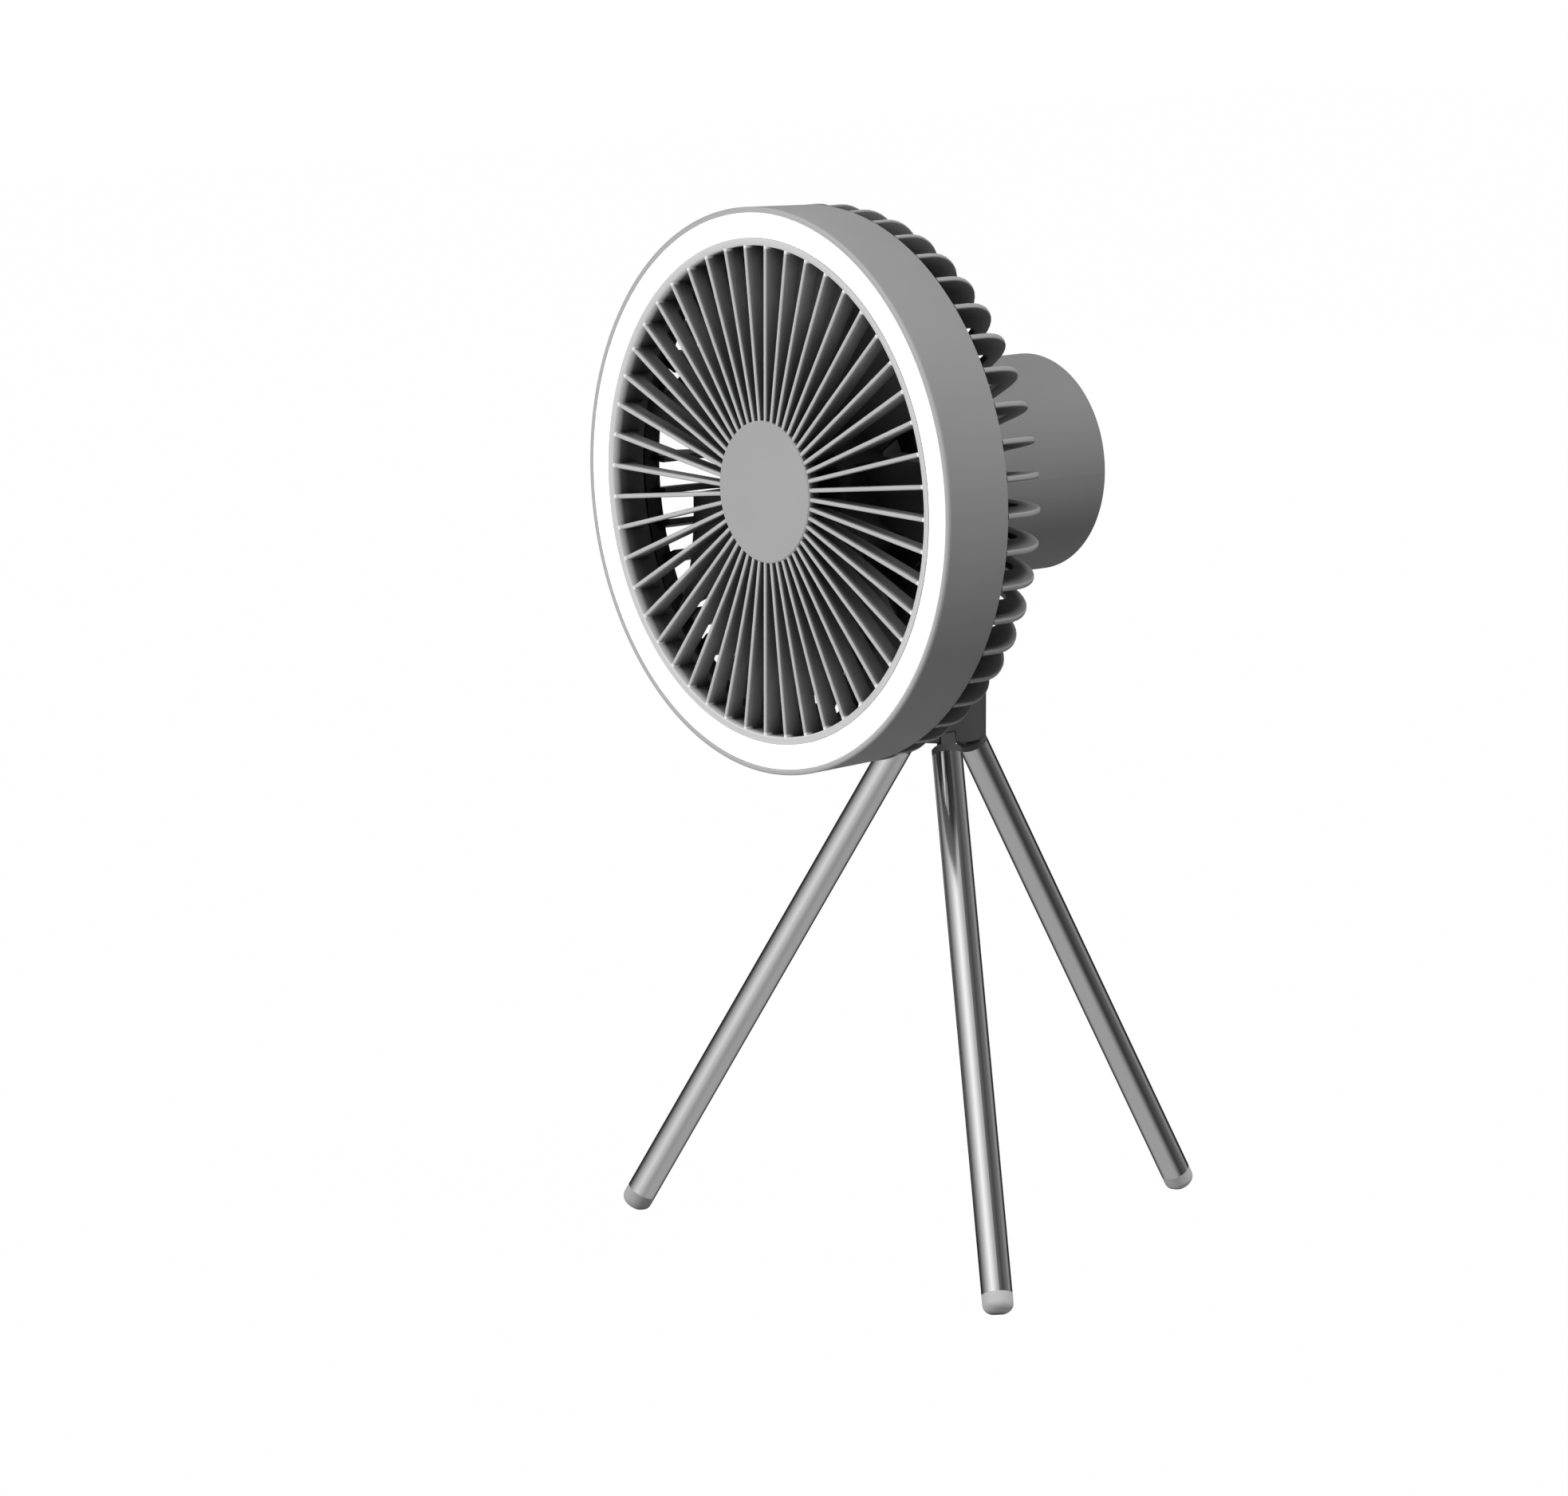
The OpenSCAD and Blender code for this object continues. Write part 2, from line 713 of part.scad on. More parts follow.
module cell_holder() {
    color("gainsboro") in_head() difference() {
        union() {
            translate([0, 0, holder_front]) cylinder(r = barrel_in_r, h = holder_t);
            translate([0, 0, holder_back - holder_t]) cylinder(r = barrel_in_r, h = holder_t);
            round_copies(3, -cell_turn) translate([holder_rod_ring, 0, holder_front + eps])
                cylinder(r = holder_rod_r, h = holder_back - holder_front - 2 * eps);
        }
        translate([0, 0, cell_front]) cell_places() cylinder(r = cell_d / 2, h = cell_len);
        translate([0, 0, holder_front - eps])
            cylinder(r = 3, h = holder_back - holder_front + 2 * eps);
    }
}

module control_board() {
    color(board_green) in_head() difference() {
        translate([0, 0, control_front]) cylinder(r = barrel_in_r - 0.2, h = control_t);
        translate([0, 0, control_front - eps]) cylinder(r = 2, h = control_t + 2 * eps);
    }
}

switch_w = 6;
plunger_r = 1.6;

module switches() {
    color("black") in_head()
        for (side = [-1, 1]) translate([side * button_pitch / 2, -button_rise, control_back]) {
            translate([-switch_w / 2, -switch_w / 2, 0]) cube([switch_w, switch_w, switch_h]);
            cylinder(r = plunger_r, h = switch_h + plunger_h);
        }
}

socket_wall = 0.35;

module charging_socket() {
    color(steel) in_head() translate([0, socket_drop, control_back]) {
        difference() {
            linear_extrude(height = cover_back - control_back) socket_outline(0);
            translate([0, 0, cover_back - control_back - socket_depth + 1])
                linear_extrude(height = socket_depth) socket_outline(-socket_wall);
        }
        translate([-socket_w * 0.36, -0.35, 0])
            cube([socket_w * 0.72, 0.7, cover_back - control_back - 1]);
    }
}

module charge_lenses() {
    color("white") in_head() translate([0, 0, cover_front]) lens_places() cylinder(r = lens_r, h = cover_t);
}

module push_button(side) {
    color(light_grey) in_head() translate([side * button_pitch / 2, -button_rise, button_front]) {
        cylinder(r = button_d / 2, h = cover_back - button_front + button_travel);
        cylinder(r = button_d / 2 + flange_w, h = flange_t);
    }
}

// ---------- Lamp lead ----------

lead_r = 0.8;
lead_bend = 3;
lead_gap = 0.3;
lead_side = fin_t / 2 + lead_r + lead_gap;
lead_ring_r = wall_out_r + 1.2;
lead_turn = 90 + asin(lead_side / lead_ring_r);
lead_hole_r = 20;
lead_hole_room = lead_r + 0.2;
lead_cross = plate_depth - lead_r - 0.1;
lead_level = barrel_front + 4.5;

// A quarter bend of the lead round the point x, z, starting at the given direction
module lead_elbow(x, z, first) {
    translate([x, 0, z]) rotate([90, 0, 0]) rotate([0, 0, first])
        rotate_extrude(angle = 90) translate([lead_bend, 0]) circle(lead_r);
}

// The lead runs back beside the lowest fin, in to the plate, through it, and down the axis
module lamp_lead() {
    color("black") in_head() rotate([0, 0, lead_turn]) {
        translate([lead_ring_r, 0, tray_depth])
            cylinder(r = lead_r, h = lead_cross - lead_bend - tray_depth);
        lead_elbow(lead_ring_r - lead_bend, lead_cross - lead_bend, 0);
        translate([lead_hole_r + lead_bend, 0, lead_cross]) rotate([0, 90, 0])
            cylinder(r = lead_r, h = lead_ring_r - lead_hole_r - 2 * lead_bend);
        lead_elbow(lead_hole_r + lead_bend, lead_cross + lead_bend, 180);
        translate([lead_hole_r, 0, lead_cross + lead_bend])
            cylinder(r = lead_r, h = lead_level - lead_cross - 2 * lead_bend);
        lead_elbow(lead_hole_r - lead_bend, lead_level - lead_bend, 0);
        translate([lead_bend, 0, lead_level]) rotate([0, 90, 0])
            cylinder(r = lead_r, h = lead_hole_r - 2 * lead_bend);
        lead_elbow(lead_bend, lead_level + lead_bend, 180);
        translate([0, 0, lead_level + lead_bend])
            cylinder(r = lead_r, h = control_front - lead_level - lead_bend);
    }
}

// ---------- Tilt hinge ----------

lug_neck = 9;
lug_screw_gap = 6;
lug_screw_len = 10;
lug_w = fork_gap - 2 * washer_t - 2 * lug_play;
saddle_w = 22;
saddle_len = 34;

module tilt_lug() {
    color(dark_grey) in_head() difference() {
        union() {
            translate([0, hinge_drop, front_to_post]) rotate([0, 90, 0])
                cylinder(r = lug_r, h = lug_w, center = true);
            translate([-lug_w / 2, barrel_r - 2, front_to_post - lug_neck])
                cube([lug_w, hinge_drop - barrel_r + 2, 2 * lug_neck]);
            intersection() {
                cylinder(r = barrel_r + saddle_t, h = barrel_back);
                translate([-saddle_w / 2, 0, front_to_post - saddle_len / 2])
                    cube([saddle_w, ring_r, saddle_len]);
            }
        }
        cylinder(r = barrel_r, h = barrel_back);
        translate([0, hinge_drop, front_to_post]) rotate([0, 90, 0])
            cylinder(r = hinge_screw_d / 2 + fit_clear, h = lug_w + 2, center = true);
        for (side = [-1, 1]) translate([0, 0, front_to_post + side * lug_screw_gap])
            rotate([-90, 0, 0]) cylinder(r = screw_r, h = barrel_in_r + lug_screw_len);
    }
}

module lug_screws() {
    color(steel) in_head() for (side = [-1, 1])
        translate([0, barrel_in_r - 0.3, front_to_post + side * lug_screw_gap])
            rotate([-90, 0, 0]) pan_screw(screw_r, lug_screw_len, head_r, head_h);
}

recess_r = 5;
cap_inset = 0.9;
hinge_cap_t = 1.2;
hinge_head_h = 2.4;
cap_out = post_r - cap_inset;
cap_seat = cap_out - hinge_cap_t;
recess_floor = cap_seat - hinge_head_h;

module post_sleeve() {
    color(dark_grey) difference() {
        intersection() {
            on_post() rotate_extrude() polygon([[0, post_bottom],
                [post_r - post_chamfer, post_bottom], [post_r, post_bottom + post_chamfer],
                [post_r, hinge_h + post_r], [0, hinge_h + post_r]]);
            at_hinge() rotate([90, 0, 90]) linear_extrude(height = 2 * post_d, center = true) {
                circle(post_r);
                translate([-post_r, post_bottom - hinge_h]) square([post_d, hinge_h - post_bottom]);
            }
        }
        on_post() translate([0, 0, post_bottom - eps])
            cylinder(r = hub_r_out, h = hub_top - post_bottom + eps);
        at_hinge() translate([-fork_gap / 2, -post_d, fork_floor - hinge_h])
            cube([fork_gap, 2 * post_d, post_d + lug_r]);
        at_hinge() rotate([0, 90, 0]) cylinder(r = hinge_screw_d / 2, h = 2 * post_d, center = true);
        at_hinge() translate([recess_floor, 0, 0]) rotate([0, 90, 0]) cylinder(r = recess_r, h = post_d);
        at_hinge() translate([-recess_floor - post_d, 0, 0]) rotate([0, 90, 0])
            cylinder(r = recess_r, h = post_d);
        for (heading = [left_heading, right_heading, rear_heading]) leg_slot(heading);
        on_post() translate([0, 0, hub_top - eps]) cylinder(r = hub_screw_r, h = fork_floor - hub_top - 1);
    }
}

// The room that a leg's tongue needs, from spread to folded
module leg_slot(heading) {
    room = tongue_r + hinge_room;
    at_pin(heading) rotate([90, 0, 0]) linear_extrude(height = slot_w, center = true) {
        circle(room);
        translate([-room, -post_d]) square([2 * room, post_d]);
        rotate([0, 0, leg_spread]) translate([-room, -post_d]) square([2 * room, post_d]);
    }
}

module leg_hub() {
    color(dark_grey) difference() {
        on_post() translate([0, 0, post_bottom]) cylinder(r = hub_r_out, h = hub_top - post_bottom);
        for (heading = [left_heading, right_heading, rear_heading]) {
            leg_slot(heading);
            at_pin(heading) rotate([90, 0, 0]) cylinder(r = pin_d / 2, h = post_d, center = true);
        }
        on_post() translate([0, 0, post_bottom - eps]) {
            cylinder(r = hub_screw_r, h = post_d);
            cylinder(r = hub_screw_head_r + screw_room, h = hub_screw_sink + hub_screw_head_h);
        }
    }
}

hub_screw_head_r = 2.2;
hub_screw_head_h = 1.6;
hub_screw_sink = 0.8;
screw_room = 0.2;

module hub_screw() {
    start = post_bottom + hub_screw_sink + hub_screw_head_h;
    color(steel) on_post() translate([0, 0, start - eps])
        pan_screw(hub_screw_r, fork_floor - 2 - start, hub_screw_head_r, hub_screw_head_h);
}

module leg_pins() {
    color(steel) for (heading = [left_heading, right_heading, rear_heading])
        at_pin(heading) rotate([90, 0, 0]) cylinder(r = pin_d / 2, h = 2 * pin_half, center = true);
}

nut_t = hinge_head_h - 0.2;
nut_r = 4.6;

module hinge_screw() {
    color(steel) at_hinge() translate([recess_floor, 0, 0]) rotate([0, -90, 0])
        pan_screw(hinge_screw_d / 2, 2 * recess_floor + nut_t, recess_r - 0.8, hinge_head_h);
}

module hinge_nut() {
    color(steel) at_hinge() translate([-recess_floor - nut_t, 0, 0]) rotate([0, 90, 0]) difference() {
        cylinder(r = nut_r, h = nut_t, $fn = 6);
        translate([0, 0, -eps]) cylinder(r = hinge_screw_d / 2, h = nut_t + 2 * eps);
    }
}

module friction_washers() {
    color("ivory") at_hinge() for (side = [0, 180]) rotate([0, 0, side])
        translate([fork_gap / 2 - washer_t, 0, 0]) rotate([0, 90, 0])
            tube(lug_r - 2.5, hinge_screw_d / 2 + fit_clear, washer_t);
}

module hinge_caps() {
    color(dark_grey) at_hinge() for (side = [0, 180]) rotate([0, 0, side])
        translate([cap_seat, 0, 0]) rotate([0, 90, 0]) cylinder(r = recess_r, h = cap_out - cap_seat);
}

// ---------- Legs ----------

plug_depth = 14;
tongue_bevel = 0.7;

module leg_tube(heading) {
    color(steel) along_leg(heading) translate([0, 0, -leg_len + tip_len])
        tube(tube_r, tube_in_r, leg_len - tip_len - tube_top);
}

module leg_plug(heading) {
    color(dark_grey) along_leg(heading) difference() {
        union() {
            rotate([90, 0, 0]) linear_extrude(height = tongue_t, center = true) {
                circle(tongue_r);
                translate([-tongue_r, -collar_top - tongue_bevel])
                    square([2 * tongue_r, collar_top + tongue_bevel]);
            }
            rotate_extrude() polygon([[0, -collar_top], [tube_r - tongue_bevel, -collar_top],
                [tube_r, -collar_top - tongue_bevel], [tube_r, -collar_end],
                [tube_in_r, -collar_end], [tube_in_r, -collar_end - plug_depth],
                [0, -collar_end - plug_depth]]);
        }
        rotate([90, 0, 0]) cylinder(r = pin_d / 2 + fit_clear, h = tongue_t + 2, center = true);
    }
}

tip_plug = 9;

module leg_tip(heading) {
    color([0.6, 0.6, 0.6]) difference() {
        along_leg(heading) translate([0, 0, -leg_len]) rotate_extrude() {
            square([tube_r - tip_round, tip_len]);
            translate([0, tip_round]) square([tube_r, tip_len - tip_round]);
            translate([0, tip_round]) square([tube_in_r, tip_len - tip_round + tip_plug]);
            intersection() {
                translate([tube_r - tip_round, tip_round]) circle(tip_round);
                square(tube_r);
            }
        }
        translate([-leg_len, -leg_len, -leg_len]) cube([2 * leg_len, 2 * leg_len, leg_len]);
    }
}

// ---------- Nodes ----------

front_ring();
light_window();
lamp_board();
light_chips();
front_grille();
centre_cap();
rear_cage();
ring_screws();
plate_screws();
wheel();
motor_can();
motor_magnets();
bush(motor_front);  // front_bush
bush(plate_depth - bush_len);  // rear_bush
motor_core();
motor_shaft();
motor_screws();
barrel();
rear_cover();
cover_screws();
battery_cells();
cell_holder();
control_board();
switches();
charging_socket();
charge_lenses();
push_button(-1);  // fan_button
push_button(1);  // light_button
tilt_lug();
lug_screws();
lamp_lead();
post_sleeve();
leg_hub();
hub_screw();
leg_pins();
hinge_screw();
hinge_nut();
friction_washers();
hinge_caps();
leg_tube(left_heading);  // left_leg_tube
leg_plug(left_heading);  // left_leg_plug
leg_tip(left_heading);  // left_leg_tip
leg_tube(right_heading);  // right_leg_tube
leg_plug(right_heading);  // right_leg_plug
leg_tip(right_heading);  // right_leg_tip
leg_tube(rear_heading);  // rear_leg_tube
leg_plug(rear_heading);  // rear_leg_plug
leg_tip(rear_heading);  // rear_leg_tip
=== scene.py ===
# %% [markdown]
# Portable camping fan: a round head with a ring-shaped lamp, on a post with three steel legs.
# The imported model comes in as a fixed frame, with every piece in its true size and place, in
# metres.  The fan could be modelled again here, but then its sizes could drift away from those of
# the solids.  So the solids stay, and this script gives each of them its finish, puts finer
# surfaces in the place of the four mouldings whose soft edges show, and sets up a white studio.

# %% Load the frame
import json
import math

import bmesh
import bpy
import numpy as np
from mathutils import Matrix, Vector


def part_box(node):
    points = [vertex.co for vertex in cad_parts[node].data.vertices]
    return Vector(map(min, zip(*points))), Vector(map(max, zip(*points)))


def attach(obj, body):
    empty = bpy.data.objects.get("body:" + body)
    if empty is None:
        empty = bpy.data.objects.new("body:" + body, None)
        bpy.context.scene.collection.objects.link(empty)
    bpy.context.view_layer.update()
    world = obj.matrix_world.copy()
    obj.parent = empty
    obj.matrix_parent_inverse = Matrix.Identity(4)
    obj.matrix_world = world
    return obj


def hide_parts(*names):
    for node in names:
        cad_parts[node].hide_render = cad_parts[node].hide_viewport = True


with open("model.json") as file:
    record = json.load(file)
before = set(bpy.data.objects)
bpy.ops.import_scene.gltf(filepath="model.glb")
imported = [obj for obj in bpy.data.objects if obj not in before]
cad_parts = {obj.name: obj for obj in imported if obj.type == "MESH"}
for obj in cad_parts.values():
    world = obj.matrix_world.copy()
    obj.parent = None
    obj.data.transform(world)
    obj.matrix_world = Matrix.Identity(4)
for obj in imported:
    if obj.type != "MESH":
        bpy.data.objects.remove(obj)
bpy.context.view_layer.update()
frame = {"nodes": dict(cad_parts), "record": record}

MM = 0.001
nodes = frame["nodes"]

# %% [markdown]
# The head is round about an axis that runs from front to back.  The height of the axis and the
# place of the front face could be typed in, but they are measured on the pieces, so they always
# fit.  From here on a place on the head is a radius, an angle, and a depth counted backwards from
# the front face.

# %% Where the head is
ring_low, ring_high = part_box("front_ring")
AXIS_X = 0.0
AXIS_Z = (ring_low.z + ring_high.z) / 2
FRONT_Y = ring_low.y
sleeve_low, sleeve_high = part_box("post_sleeve")
POST_Y = (sleeve_low.y + sleeve_high.y) / 2
print("axis height", round(AXIS_Z, 5), " front", round(FRONT_Y, 5), " post", round(POST_Y, 5))

# %% [markdown]
# The camera stands where the photo was taken from: about 2.4 m away, a little above the fan and
# turned 51 degrees to its side.  Set by eye, it would show the ring and the slant of the legs a
# little wrong.  So its place was worked out from the outlines of ring, lamp, barrel and legs.  It
# is written as two angles, a distance, and how far the camera aims to the left of the post and
# below the head's axis.

# %% Camera
AZIMUTH = math.radians(50.88)
ELEVATION = math.radians(10.19)
DISTANCE = 2440.75 * MM
AIM_RIGHT = -50.29 * MM
AIM_UP = -88.81 * MM
PHOTO_W = 1966
FOCAL_PIXELS = 9525.7
SENSOR = 36.0
FAR_LIMIT = 20

back = Vector((math.sin(AZIMUTH) * math.cos(ELEVATION),
               -math.cos(AZIMUTH) * math.cos(ELEVATION), math.sin(ELEVATION)))
right = Vector((math.cos(AZIMUTH), math.sin(AZIMUTH), 0))
up = back.cross(right)
place = Vector((0, POST_Y, AXIS_Z)) + right * AIM_RIGHT + up * AIM_UP + back * DISTANCE
camera = bpy.data.objects.new("camera", bpy.data.cameras.new("camera"))
bpy.context.scene.collection.objects.link(camera)
camera.matrix_world = Matrix(((right.x, up.x, back.x, place.x), (right.y, up.y, back.y, place.y),
                              (right.z, up.z, back.z, place.z), (0, 0, 0, 1)))
camera.data.sensor_width = SENSOR
camera.data.lens = FOCAL_PIXELS / PHOTO_W * SENSOR
camera.data.clip_end = FAR_LIMIT
bpy.context.scene.camera = camera
print("lens", round(camera.data.lens, 1), "mm")

# %% [markdown]
# Finishes and the studio are node trees.  They could be clicked together in the shader editor.
# Written as text, a tree reads from top to bottom: each line adds one node and says where its
# inputs come from.  Greys are written as the eye sees them, out of 255, because that is how they
# are judged, and turned into the amount of light that a shader works with.

# %% Helpers for node trees
def new_tree(owner):
    """Empties the node tree of a material or world and returns it."""
    owner.use_nodes = True
    owner.node_tree.nodes.clear()
    return owner.node_tree


def add(tree, kind, inputs=None, **settings):
    """Adds a node.  inputs gives a socket's value, or another node's output to link to it."""
    node = tree.nodes.new("ShaderNode" + kind)
    for key, value in settings.items():
        setattr(node, key, value)
    for key, value in (inputs or {}).items():
        if isinstance(value, bpy.types.NodeSocket):
            tree.links.new(value, node.inputs[key])
        else:
            node.inputs[key].default_value = value
    return node


def grey(value):
    """A neutral colour: the linear value of a grey seen as value out of 255."""
    share = value / 255
    linear = share / 12.92 if share <= 0.04045 else ((share + 0.055) / 1.055) ** 2.4
    return (linear, linear, linear, 1)


WHITE = grey(255)
print("half way to white for the eye is", round(grey(128)[0], 3), "of the light")

# %% [markdown]
# The room that steel shows.  The legs are polished steel and mirror whatever stands round them.
# In a plain white room they would be flat white stripes.  Real walls and lamps could be built for
# them to mirror, but a ring of greys on the world does the same: a big soft wall to the left, a
# dark gap, a second soft strip to the right, and a third one straight behind the fan, between two
# dark gaps.

# %% The wall that steel shows
CAMERA_HEADING = math.atan2(back.y, back.x)
# Each stop is a direction in degrees, counted to the right from the camera's, and a grey.
STUDIO_ROUND = [(-180, 160), (-162, 60), (-142, 14), (-115, 105), (-85, 172), (-45, 240), (-10, 195),
                (30, 100), (58, 62), (96, 105), (116, 150), (135, 25), (145, 20), (162, 60), (180, 160)]

scene = bpy.context.scene
scene.view_settings.view_transform = "Standard"
world = bpy.data.worlds.new("studio")
scene.world = world
tree = new_tree(world)
coords = add(tree, "TexCoord")
turn = add(tree, "VectorRotate", {"Vector": coords.outputs["Generated"], "Angle": -CAMERA_HEADING},
           rotation_type="Z_AXIS")
parts = add(tree, "SeparateXYZ", {0: turn.outputs[0]})
heading = add(tree, "Math", {0: parts.outputs["Y"], 1: parts.outputs["X"]}, operation="ARCTAN2")
share = add(tree, "MapRange", {"Value": heading.outputs[0], "From Min": -math.pi, "From Max": math.pi})
ramp = add(tree, "ValToRGB", {"Fac": share.outputs["Result"]})
stops = ramp.color_ramp.elements
stops_there = len(stops)
for k, (degrees, level) in enumerate(STUDIO_ROUND):
    spot = (degrees + 180) / 360
    stop = stops[k] if k < stops_there else stops.new(spot)
    stop.position, stop.color = spot, grey(level)
print("studio stops:", len(stops))

# %% [markdown]
# The wall gets brighter towards the top, as one that is lit from above does, and below the fan
# steel shows a grey table.  The floor itself could be mirrored there, but how bright it is hangs
# on the lamps, while the table's grey is chosen for the legs alone.

# %% The wall's height and the table
# Heights are those of a direction one long: -1 is straight down, 0 level and 1 straight up.
WALL_FOOT, WALL_TOP = -0.3, 0.65
WALL_DIM, WALL_BRIGHT = 0.85, 1.35
TABLE_STARTS, TABLE_FULL = -0.5, -0.74
TABLE_GREY = 170
# Sockets of a Mix node when it mixes colours: its first and second colour, and the one it gives.
FIRST_COLOUR, SECOND_COLOUR, MIXED_COLOUR = 6, 7, 2

lift = add(tree, "MapRange", {"Value": parts.outputs["Z"], "From Min": WALL_FOOT, "From Max": WALL_TOP,
                              "To Min": WALL_DIM, "To Max": WALL_BRIGHT})
wall = add(tree, "VectorMath", {0: ramp.outputs["Color"], "Scale": lift.outputs["Result"]},
           operation="SCALE")
table = add(tree, "MapRange", {"Value": parts.outputs["Z"], "From Min": TABLE_STARTS,
                               "From Max": TABLE_FULL})
round_about = add(tree, "Mix", {"Factor": table.outputs["Result"], FIRST_COLOUR: wall.outputs[0],
                                SECOND_COLOUR: grey(TABLE_GREY)}, data_type="RGBA")
shown = add(tree, "Background", {"Color": round_about.outputs[MIXED_COLOUR], "Strength": 1.0})
print("table grey:", TABLE_GREY, "from", round(math.degrees(math.asin(-TABLE_FULL))), "degrees down")

# %% [markdown]
# The soft light.  Matte plastic doesn't show the room, it only adds up the light from it, so it
# gets an even white that is about twice as strong from straight above as from below.  The camera
# sees neither of the two, but plain white.  A backdrop lit to white would need so much light that
# the fan would glare, so the rays are told apart instead: mirrored ones see the room, those of
# the camera and those that come through glass see white, and all others the soft light.

# %% The soft light, and who sees what
SOFT_TOP, SOFT_BOTTOM = 0.32, 0.15


def seen_directly(tree):
    """1 for a ray that comes from the camera, straight or through glass, and 0 for all others."""
    path = add(tree, "LightPath")
    return add(tree, "Math", {0: path.outputs["Is Camera Ray"], 1: path.outputs["Is Transmission Ray"]},
               operation="MAXIMUM")


fade = add(tree, "MapRange", {"Value": parts.outputs["Z"], "From Min": -1.0, "From Max": 1.0,
                              "To Min": SOFT_BOTTOM, "To Max": SOFT_TOP})
soft = add(tree, "Background", {"Color": WHITE, "Strength": fade.outputs["Result"]})
plain = add(tree, "Background", {"Color": WHITE, "Strength": 1.0})
mirrored = add(tree, "LightPath").outputs["Is Glossy Ray"]
in_gloss = add(tree, "MixShader", {0: mirrored, 1: soft.outputs[0], 2: shown.outputs[0]})
mix = add(tree, "MixShader", {0: seen_directly(tree).outputs[0], 1: in_gloss.outputs[0],
                              2: plain.outputs[0]})
add(tree, "OutputWorld", {"Surface": mix.outputs[0]})
print("soft light:", SOFT_BOTTOM, "from below to", SOFT_TOP, "from above")

# %% [markdown]
# The floor is white paper.  Lit by these lamps it would come out grey, so for the camera it glows
# as white as the background, with a trace of matte grey that takes the fan's shadow.  For light
# that bounces it is all matte.  Steel doesn't see it: it has its grey table.

# %% Floor
FLOOR_HALF = 3.0
PAPER_GLOW = 0.995
PAPER_GREY = 150
floor_mesh = bpy.data.meshes.new("floor")
floor_mesh.from_pydata([(-FLOOR_HALF, -FLOOR_HALF, 0), (FLOOR_HALF, -FLOOR_HALF, 0),
                        (FLOOR_HALF, FLOOR_HALF, 0), (-FLOOR_HALF, FLOOR_HALF, 0)], [], [(0, 1, 2, 3)])
floor = bpy.data.objects.new("floor", floor_mesh)
scene.collection.objects.link(floor)
floor.visible_glossy = False
paper = bpy.data.materials.new("white_paper")
tree = new_tree(paper)
matte = add(tree, "BsdfDiffuse", {"Color": grey(PAPER_GREY)})
glow = add(tree, "Emission", {"Color": WHITE, "Strength": 1.0})
share = add(tree, "Math", {0: seen_directly(tree).outputs[0], 1: PAPER_GLOW}, operation="MULTIPLY")
mix = add(tree, "MixShader", {0: share.outputs[0], 1: matte.outputs[0], 2: glow.outputs[0]})
add(tree, "OutputMaterial", {"Surface": mix.outputs[0]})
floor_mesh.materials.append(paper)
print("floor:", 2 * FLOOR_HALF, "m across")

# %% [markdown]
# The lamps are three square soft boxes.  One stands high on the right, where the photo's light
# comes from, and shades the barrel from top to bottom.  One fills in from the front left, and a
# weaker one from the rear left keeps the back from going dark.  Small lamps would give sharp
# shadows that the photo doesn't have.  Steel doesn't show them, because it has its wall.

# %% Lamps
CENTRE = (0, 0, 0.24)
LAMPS = {"high_right_box": dict(spot=(0.92, 0.12, 1.78), size=0.5, watts=33),
         "front_left_box": dict(spot=(-0.6, -2.0, 0.9), size=0.8, watts=33),
         "rear_left_box": dict(spot=(-1.3, 1.9, 0.6), size=0.8, watts=20)}


def soft_box(name, spot, size, watts):
    """A square lamp of the given side, at spot and facing CENTRE, not seen in mirrors."""
    data = bpy.data.lights.new(name, "AREA")
    data.shape = "SQUARE"
    data.size = size
    data.energy = watts
    lamp = bpy.data.objects.new(name, data)
    scene.collection.objects.link(lamp)
    lamp.location = spot
    lamp.rotation_euler = (Vector(CENTRE) - Vector(spot)).to_track_quat("-Z", "Y").to_euler()
    lamp.visible_glossy = False


for name, lamp in LAMPS.items():
    soft_box(name, **lamp)
print("soft boxes:", len(LAMPS))

# %% [markdown]
# Moulded plastic.  Most of the fan is matte grey plastic from a finely eroded mould.  A flat grey
# would look like paint, and a picture of plastic would show its tiles.  So two noises are worked
# out in space: a fine one for the grain, as bump, and a slow one that moves the shade and the
# roughness a little from place to place.

# %% Grain and slow changes
GRAIN = 0.35 * MM
GRAIN_DETAIL, SLOW_DETAIL, POLISH_DETAIL = 3.0, 2.0, 4.0
PATCHES_PER_M, POLISH_PATCHES_PER_M = 40.0, 60.0
MOTTLING, POLISH_CHANGE = 0.05, 0.06
SMOOTHER, ROUGHER = 0.05, 0.07
GRAIN_BUMP, BUMP_PER_GRAIN = 0.12, 0.3


def noise(tree, coords, per_metre, detail):
    """A noise in space, with about per_metre patches to the metre.  Its output goes from 0 to 1."""
    return add(tree, "TexNoise", {"Vector": coords.outputs["Object"], "Scale": per_metre,
                                  "Detail": detail}).outputs["Fac"]


def between(tree, value, low, high, start=0.0, end=1.0):
    """Goes evenly from low to high while value goes from start to end, and stops at both."""
    return add(tree, "MapRange", {"Value": value, "From Min": start, "From Max": end,
                                  "To Min": low, "To Max": high}).outputs["Result"]


def scaled(tree, shade, factor):
    """The colour shade, made darker or lighter by factor."""
    return add(tree, "VectorMath", {0: shade, "Scale": factor}, operation="SCALE").outputs[0]


print("grain:", round(1 / GRAIN), "to the metre")
